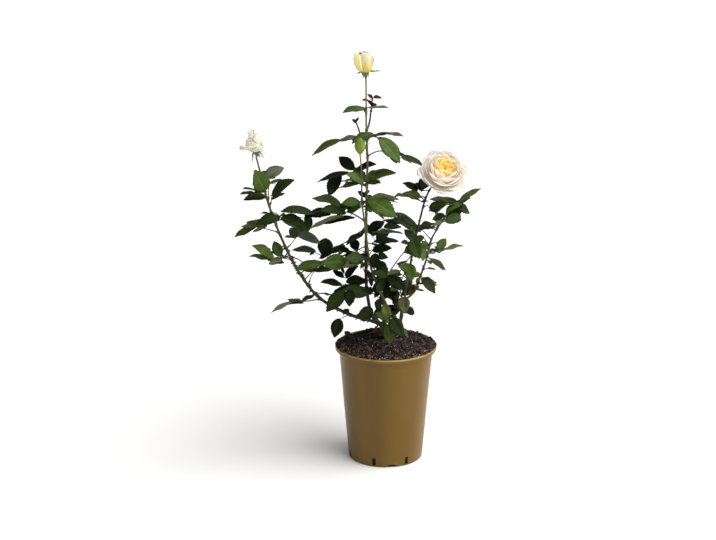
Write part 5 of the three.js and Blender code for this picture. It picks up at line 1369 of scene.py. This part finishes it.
def pot_shell():
    """A thin moulded shell with a rolled lip, slots through its foot and a shallow arch in its lower edge, whose faces
    under the arch carry a near-black painted shade.
    """
    neck = POT_H - LIP_H
    cell = math.degrees(math.asin(SLOT_W / 2 / BASE_R))
    centres = [(SLOT_FIRST + 90 + k * 360 / SLOTS + 180) % 360 - 180 for k in range(SLOTS)]
    angles = []
    for k in range(216):
        a = -180 + k * 360 / 216
        if all(abs((a - c + 180) % 360 - 180) > cell + 0.5 for c in centres):
            angles.append(a)
    for c in centres:
        angles += [(c - cell + 180) % 360 - 180, (c + cell + 180) % 360 - 180]
    angles = sorted(angles)
    top = SLOT_SILL + SLOT_H
    outer = [(BASE_R - 3.2, 0.1), (BASE_R - 1.6, 0), (BASE_R - 0.5, 0.35), (wall_r(1.2), 1.2), (wall_r(SLOT_SILL), SLOT_SILL), (wall_r(top), top)]
    outer += [(wall_r(z), z) for z in (24, 34, 50, 70, 92, 116, 140, 164, 186, 204, 216)]
    outer += [(wall_r(neck - 3.2), neck - 3.2), (NECK_R + 0.3, neck - 1.2), (NECK_R + 1.4, neck - 0.3), (LIP_R - 2.2, neck + 0.1),
              (LIP_R - 0.7, neck + 0.5), (LIP_R, neck + 1.5), (LIP_R + 0.05, neck + 4.0), (LIP_R, POT_H - 1.5), (LIP_R - 0.5, POT_H - 0.5), (LIP_R - 1.3, POT_H)]
    inner = [(LIP_R - LIP_T - 1.0, POT_H), (LIP_R - LIP_T - 1.6, POT_H - 0.6), (LIP_R - LIP_T - 1.9, neck + 2.2), (NECK_R - WALL + 0.4, neck + 0.6),
             (NECK_R - WALL, neck - 2.0)]
    inner += [(wall_r(z) - WALL, z) for z in (200, 160, 116, 70, 34)]
    inner += [(wall_r(top) - WALL, top), (wall_r(SLOT_SILL) - WALL, SLOT_SILL), (wall_r(FLOOR) - WALL - 0.8, FLOOR)]
    rings = outer + inner
    na, nr = len(angles), len(rings)
    ar = np.radians(angles)
    co = np.zeros((nr, na, 3))
    for i, (rr, zz) in enumerate(rings):
        co[i, :, 0], co[i, :, 1], co[i, :, 2] = rr * np.sin(ar), -rr * np.cos(ar), zz
    # arch in the lower edge, a little right of the front
    arch = 5.8 * np.exp(-((np.array(angles) - 9) / 7.6) ** 6)
    for i, share in ((1, 0.88), (2, 0.88), (3, 0.8), (4, 0.55)):
        co[i, :, 2] += arch * share
    # the wall breathes a little, and sags in by a hair between its ribs of soil
    for i, (rr, zz) in enumerate(rings[:nr]):
        if 20 < zz < 216:
            f = 1 + 0.0022 * np.sin(3 * ar + 0.8) * math.sin(math.pi * zz / 232) + 0.0012 * np.sin(7 * ar + zz * 0.05)
            co[i, :, 0] *= f
            co[i, :, 1] *= f
    idx = np.arange(nr * na).reshape(nr, na)
    o0, o1 = 4, 5
    i1, i0 = len(outer) + 10, len(outer) + 11
    start = set()
    for c in centres:
        a = (c - cell + 180) % 360 - 180
        start.add(min(range(na), key=lambda k: abs(angles[k] - a)))
    quads, mats = [], []
    for i in range(nr - 1):
        for j in range(na):
            if (i == o0 or i == i1) and j in start:
                continue
            k = (j + 1) % na
            quads.append((idx[i][j], idx[i][k], idx[i + 1][k], idx[i + 1][j]))
            # faces under the arch in the foot take the near-black painted shade
            mats.append(1 if (i == 0 or i >= i1) and arch[j] > 1.0 and arch[k] > 1.0 else 0)
    for j in start:
        k = (j + 1) % na
        a, b, c, d = idx[o0][j], idx[o0][k], idx[o1][k], idx[o1][j]
        e, f, g, hh = idx[i0][j], idx[i0][k], idx[i1][k], idx[i1][j]
        quads += [(a, b, f, e)[::-1], (b, c, g, f)[::-1], (c, d, hh, g)[::-1], (d, a, e, hh)[::-1]]
        mats += [0] * 4
    co = np.concatenate([co.reshape(-1, 3), [[0, 0, 0.35]], [[0, 0, FLOOR]]])
    lo, up = nr * na, nr * na + 1
    tris = [(lo, idx[0][(j + 1) % na], idx[0][j]) for j in range(na)] + [(up, idx[-1][j], idx[-1][(j + 1) % na]) for j in range(na)]
    mark = np.stack([co[:, 2] / POT_H, np.arctan2(co[:, 0], -co[:, 1]), np.full(len(co), 0.5)], 1)
    h = Heap()
    h.add(co, mark, quads=quads, tris=tris, mats=mats)
    # near-black painted shade for the recess under the arch, flecked a little
    k = Nodes("notch_compost")
    shade_speckle = k.noise(700.0, 2.0)
    notch = k.finish(k.mix(k.ramp(shade_speckle, 0.4, 0.65), srgb(22, 16, 12), srgb(44, 34, 27)), k.ramp(shade_speckle, 0.3, 0.7, 0.7, 0.9), **{"Specular IOR Level": 0.2})
    k = Nodes("pot_plastic")
    cloud = k.noise(34.0, 2.0, squeeze=(1.0, 1.0, 0.3))
    fleck = k.noise(2600.0, 2.0)
    flow = k.noise(14.0, 1.0, squeeze=(1.0, 1.0, 0.08))
    scuff = k.noise(130.0, 4.0, 0.7, squeeze=(0.6, 0.6, 1.4))
    t, a_, _ = k.mark()[:3]
    gold, brown = POT_GOLD, POT_BROWN
    colour = k.mix(k.ramp(flow, 0.3, 0.7), brown, gold)
    colour = k.mix(k.math("MULTIPLY", k.ramp(cloud, 0.35, 0.75), 0.35), colour, brown)
    colour = k.mix(k.math("MULTIPLY", k.ramp(fleck, 0.5, 0.75), 0.12), colour, POT_FLECK)
    # painted highlight along the top edge of the lip, broken up a little by the cloud noise
    colour = k.mix(k.math("MULTIPLY", k.ramp(t, 0.984, 0.995), k.ramp(cloud, 0.25, 0.6, 0.45, 1.0)), colour, POT_LIP_HIGHLIGHT)
    dust = k.math("MULTIPLY", k.ramp(scuff, 0.60, 0.74), k.ramp(t, 0.16, 0.0))
    colour = k.mix(k.math("MULTIPLY", dust, 0.5), colour, srgb(176, 160, 128))
    k.bump(k.math("ADD", k.math("MULTIPLY", fleck, 0.35), cloud), 0.10, 0.0004)
    mat = k.finish(colour, k.ramp(k.math("ADD", k.math("MULTIPLY", scuff, 0.5), k.math("MULTIPLY", cloud, 0.5)), 0.3, 0.7, 0.30, 0.40),
                   **{"Metallic": POT_METAL, "Specular IOR Level": 0.3})
    ob = h.build("pot_shell", [mat, notch], slot="pot" if "pot" in SLOT_NAMES else None, stands_for=("pot",))
    ob.data.set_sharp_from_angle(angle=math.radians(38))
    return ob


# the last of these colours is the painted highlight on the lip's top edge
POT_GOLD, POT_BROWN, POT_FLECK, POT_LIP_HIGHLIGHT = srgb(113, 84, 24), srgb(97, 72, 24), srgb(146, 114, 52), srgb(164, 134, 74)
POT_METAL = 0.12
SLOT_NAMES = {m.get("slot") or m.get("name") for m in frame["record"].get("materials", [])} if isinstance(frame["record"].get("materials", []), list) else set()
pot_shell()


# ------------------------------------------------------------------ compost
def soil_height(x, y):
    edge = LIP_R - LIP_T - 2.2
    rr = np.hypot(x, y)
    f = np.clip(1 - rr / edge, 0, 1)
    base = SOIL_EDGE_Z + SOIL_CROWN * np.sin(f * np.pi / 2) ** 0.8
    n = np.sin(x * 0.11 + 1.3) * np.cos(y * 0.13 - 0.4) + 0.6 * np.sin(x * 0.23 - y * 0.19)
    fade = np.minimum(1, (edge - rr) / 12 + 0.25)
    fine = 0.5 * np.sin(x * 0.61 + 0.4 * y) * np.sin(y * 0.53 - 0.2 * x) + 0.3 * np.sin(1.3 * x + 2) * np.sin(1.21 * y)
    ang = np.arctan2(y, x)
    low = 5.5 * np.clip((ang - 1.95) / 0.3, 0, 1) * np.clip((3.0 - ang) / 0.35, 0, 1) * np.clip((rr / edge - 0.5) * 2.5, 0, 1)
    low = low - 1.6 * np.exp(-((ang - 1.72) / 0.22) ** 2) * np.clip((rr / edge - 0.5) * 2.5, 0, 1)
    return base - low + 2.2 * n * fade + 1.1 * fine * np.clip(fade, 0, 1)


SOIL_MATS = []
for nm, lo, hi in (("compost_dark", (32, 24, 20), (60, 48, 42)), ("compost_brown", (62, 49, 42), (100, 84, 74)),
                   ("compost_red", (82, 57, 50), (118, 90, 80)), ("compost_black", (14, 10, 9), (32, 25, 23)),
                   ("compost_fibre", (152, 136, 122), (206, 190, 176)), ("compost_perlite", (200, 194, 192), (232, 228, 226))):
    k = Nodes(nm)
    grain = k.noise(700.0, 4.0, 0.7)
    broad = k.noise(120.0, 3.0)
    colour = k.mix(k.ramp(grain, 0.32, 0.68), srgb(*lo), srgb(*hi))
    colour = k.mix(k.math("MULTIPLY", k.ramp(broad, 0.5, 0.7), 0.4), colour, srgb(*lo))
    k.bump(grain, 0.7, 0.0008)
    SOIL_MATS.append(k.finish(colour, k.ramp(broad, 0.3, 0.7, 0.78, 0.96), **{"Specular IOR Level": 0.2}))

h = Heap()
edge = LIP_R - LIP_T - 2.0
nr, na = 46, 150
rr = (np.linspace(0, 1, nr + 1)[1:] ** 0.85) * edge
aa = np.arange(na) * 2 * math.pi / na
X, Y = rr[:, None] * np.cos(aa)[None, :], rr[:, None] * np.sin(aa)[None, :]
rng = np.random.default_rng(12)
Z = soil_height(X, Y) + rng.uniform(-0.45, 0.45, X.shape)
co = [np.stack([X, Y, Z], -1).reshape(-1, 3), [[0, 0, float(soil_height(np.array(0.0), np.array(0.0)))]]]
idx = np.arange(nr * na).reshape(nr, na)
nx = np.roll(idx, -1, axis=1)
quads = np.stack([idx[:-1], idx[1:], nx[1:], nx[:-1]], -1).reshape(-1, 4)
tris = [(nr * na, idx[0][j], nx[0][j]) for j in range(na)]
# closed below, down the inside of the wall
low = [(edge - 0.4, SOIL_EDGE_Z - 6), (NECK_R - WALL - 1.2, POT_H - LIP_H - 2), (wall_r(110) - WALL - 0.8, 110), (wall_r(FLOOR) - WALL - 1.4, FLOOR + 0.5)]
base = nr * na + 1
rings = [np.stack([a * np.cos(aa), a * np.sin(aa), np.full(na, b)], 1) for a, b in low]
co = np.concatenate([*co, *rings, [[0, 0, FLOOR + 0.5]]])
prev = idx[-1]
extra = []
for i in range(len(low)):
    cur = base + i * na + np.arange(na)
    extra.append(np.stack([prev, cur, np.roll(cur, -1), np.roll(prev, -1)], -1))
    prev = cur
quads = np.concatenate([quads, *extra])
bottom = base + len(low) * na
tris += [(bottom, (int(prev[(j + 1) % na])), int(prev[j])) for j in range(na)]
h.add(co, (0.5, 0.5, 0.5), quads=quads, tris=tris, mat=0)
h.build("compost_bed", SOIL_MATS, slot="compost" if "compost" in SLOT_NAMES else None, stands_for=("soil",))

# crumbs, bark chips, fibres and perlite lying on the bed and against the lip
PHI = (1 + 5 ** 0.5) / 2
ICO = np.array([(-1, PHI, 0), (1, PHI, 0), (-1, -PHI, 0), (1, -PHI, 0), (0, -1, PHI), (0, 1, PHI), (0, -1, -PHI), (0, 1, -PHI),
                (PHI, 0, -1), (PHI, 0, 1), (-PHI, 0, -1), (-PHI, 0, 1)]) / math.sqrt(1 + PHI * PHI)
ICO_F = [(0, 11, 5), (0, 5, 1), (0, 1, 7), (0, 7, 10), (0, 10, 11), (1, 5, 9), (5, 11, 4), (11, 10, 2), (10, 7, 6), (7, 1, 8),
         (3, 9, 4), (3, 4, 2), (3, 2, 6), (3, 6, 8), (3, 8, 9), (4, 9, 5), (2, 4, 11), (6, 2, 10), (8, 6, 7), (9, 8, 1)]
h = Heap()
r = random.Random(404)
for k in range(3300):
    a = r.uniform(0, 2 * math.pi)
    d = edge * math.sqrt(r.random())
    if k % 6 == 0:
        d = edge * r.uniform(0.86, 0.99)
    x, y = d * math.cos(a), d * math.sin(a)
    if math.hypot(x - KNUCKLE[0], y - KNUCKLE[1]) < 9:
        continue
    kind = r.random()
    size = r.uniform(0.9, 2.4) if kind < 0.72 else r.uniform(2.2, 4.2)
    red = 0.10 + 0.10 * (x > 20)
    front = 0.075 * max(0.0, -y / edge) + 0.02 * (x > 0)
    m = 5 if kind > 0.968 - front else (4 if kind > 0.90 - front * 2.0 else r.choices((0, 1, 2, 3), (0.42, 0.26, red, 0.22))[0])
    if m == 5:
        size = r.uniform(0.6, 1.3)
    stretch = np.array((r.uniform(0.9, 1.9), r.uniform(0.6, 1.0), r.uniform(0.35, 0.8)))
    if m == 4:
        stretch, size = np.array((r.uniform(2.4, 5.0), 0.4, 0.3)), r.uniform(0.7, 1.3)
    pts = ICO * np.array([[r.uniform(0.78, 1.18)] for _ in range(12)]) * stretch * size
    yaw, tip, roll = r.uniform(0, 6.283), r.gauss(0, 0.35), r.gauss(0, 0.35)
    cy, sy, ct, st, cr, sr = math.cos(yaw), math.sin(yaw), math.cos(tip), math.sin(tip), math.cos(roll), math.sin(roll)
    R = np.array([[cy, -sy, 0], [sy, cy, 0], [0, 0, 1]]) @ np.array([[ct, 0, st], [0, 1, 0], [-st, 0, ct]]) @ np.array([[1, 0, 0], [0, cr, -sr], [0, sr, cr]])
    pts = pts @ R.T
    z = float(soil_height(np.array(x), np.array(y))) + size * stretch[2] * r.uniform(0.2, 0.75)
    h.add(pts + (x, y, z), (0.5, 0.5, r.random()), tris=ICO_F, mat=m)
# some spilled on the lip at both sides
for k in range(230):
    a = r.choice((-0.1, math.pi + 0.1)) + r.gauss(0, 0.34)
    d = r.uniform(LIP_R - 4.2, LIP_R - 0.7)
    size = r.uniform(0.6, 1.5)
    pts = ICO * np.array([[r.uniform(0.8, 1.2)] for _ in range(12)]) * size * np.array((1.2, 0.9, 0.7))
    h.add(pts + (d * math.cos(a), d * math.sin(a), POT_H + size * 0.42), (0.5, 0.5, r.random()), tris=ICO_F, mat=r.choice((0, 0, 1, 2, 3)))
h.build("compost_crumbs", SOIL_MATS, slot="compost" if "compost" in SLOT_NAMES else None, smooth=False)

# ------------------------------------------------------------------ stage and light
me = bpy.data.meshes.new("floor")
S = 30.0
me.from_pydata([(-S, -S, 0), (S, -S, 0), (S, S, 0), (-S, S, 0)], [], [(0, 1, 2, 3)])
k = Nodes("floor_pale")
spread = k.noise(0.6, 2.0)
colour = k.mix(k.ramp(spread, 0.2, 0.8), (0.95, 0.95, 0.95, 1), (0.97, 0.97, 0.97, 1))
me.materials.append(k.finish(colour, k.ramp(spread, 0.2, 0.8, 0.85, 0.95), **{"Specular IOR Level": 0.0}))
floor = bpy.data.objects.new("floor", me)
bpy.context.scene.collection.objects.link(floor)

world = bpy.data.worlds.new("studio")
bpy.context.scene.world = world
world.use_nodes = True
# the studio's white walls, the right one nearer its lamps than the left one
nt = world.node_tree
back = nt.nodes["Background"]
back.inputs["Color"].default_value = (1.0, 0.995, 0.98, 1)
where, split, grade = nt.nodes.new("ShaderNodeTexCoord"), nt.nodes.new("ShaderNodeSeparateXYZ"), nt.nodes.new("ShaderNodeMapRange")
grade.interpolation_type = "SMOOTHSTEP"
for socket, value in (("From Min", -0.9), ("From Max", 0.9), ("To Min", 0.16), ("To Max", 0.88)):
    grade.inputs[socket].default_value = value
nt.links.new(where.outputs["Generated"], split.inputs[0])
nt.links.new(split.outputs["X"], grade.inputs["Value"])
nt.links.new(grade.outputs[0], back.inputs["Strength"])


def sun(name, azimuth, elevation, strength, angle, colour=(1, 1, 1)):
    """Soft light from a bearing, 0 from behind the camera and 90 from its right."""
    d = bpy.data.lights.new(name, "SUN")
    d.energy, d.angle, d.color = strength, math.radians(angle), colour
    o = bpy.data.objects.new(name, d)
    a, e = math.radians(azimuth), math.radians(elevation)
    back = Vector((math.sin(a) * math.cos(e), -math.cos(a) * math.cos(e), math.sin(e)))
    o.rotation_euler = back.to_track_quat("Z", "Y").to_euler()
    bpy.context.scene.collection.objects.link(o)


sun("key", 68, 47, 2.80, 66, (1.0, 0.985, 0.96))
sun("fill", 0, 72, 0.18, 110, (0.97, 0.98, 1.0))
bpy.context.scene.view_settings.view_transform = "Standard"
bpy.context.scene.view_settings.look = "None"
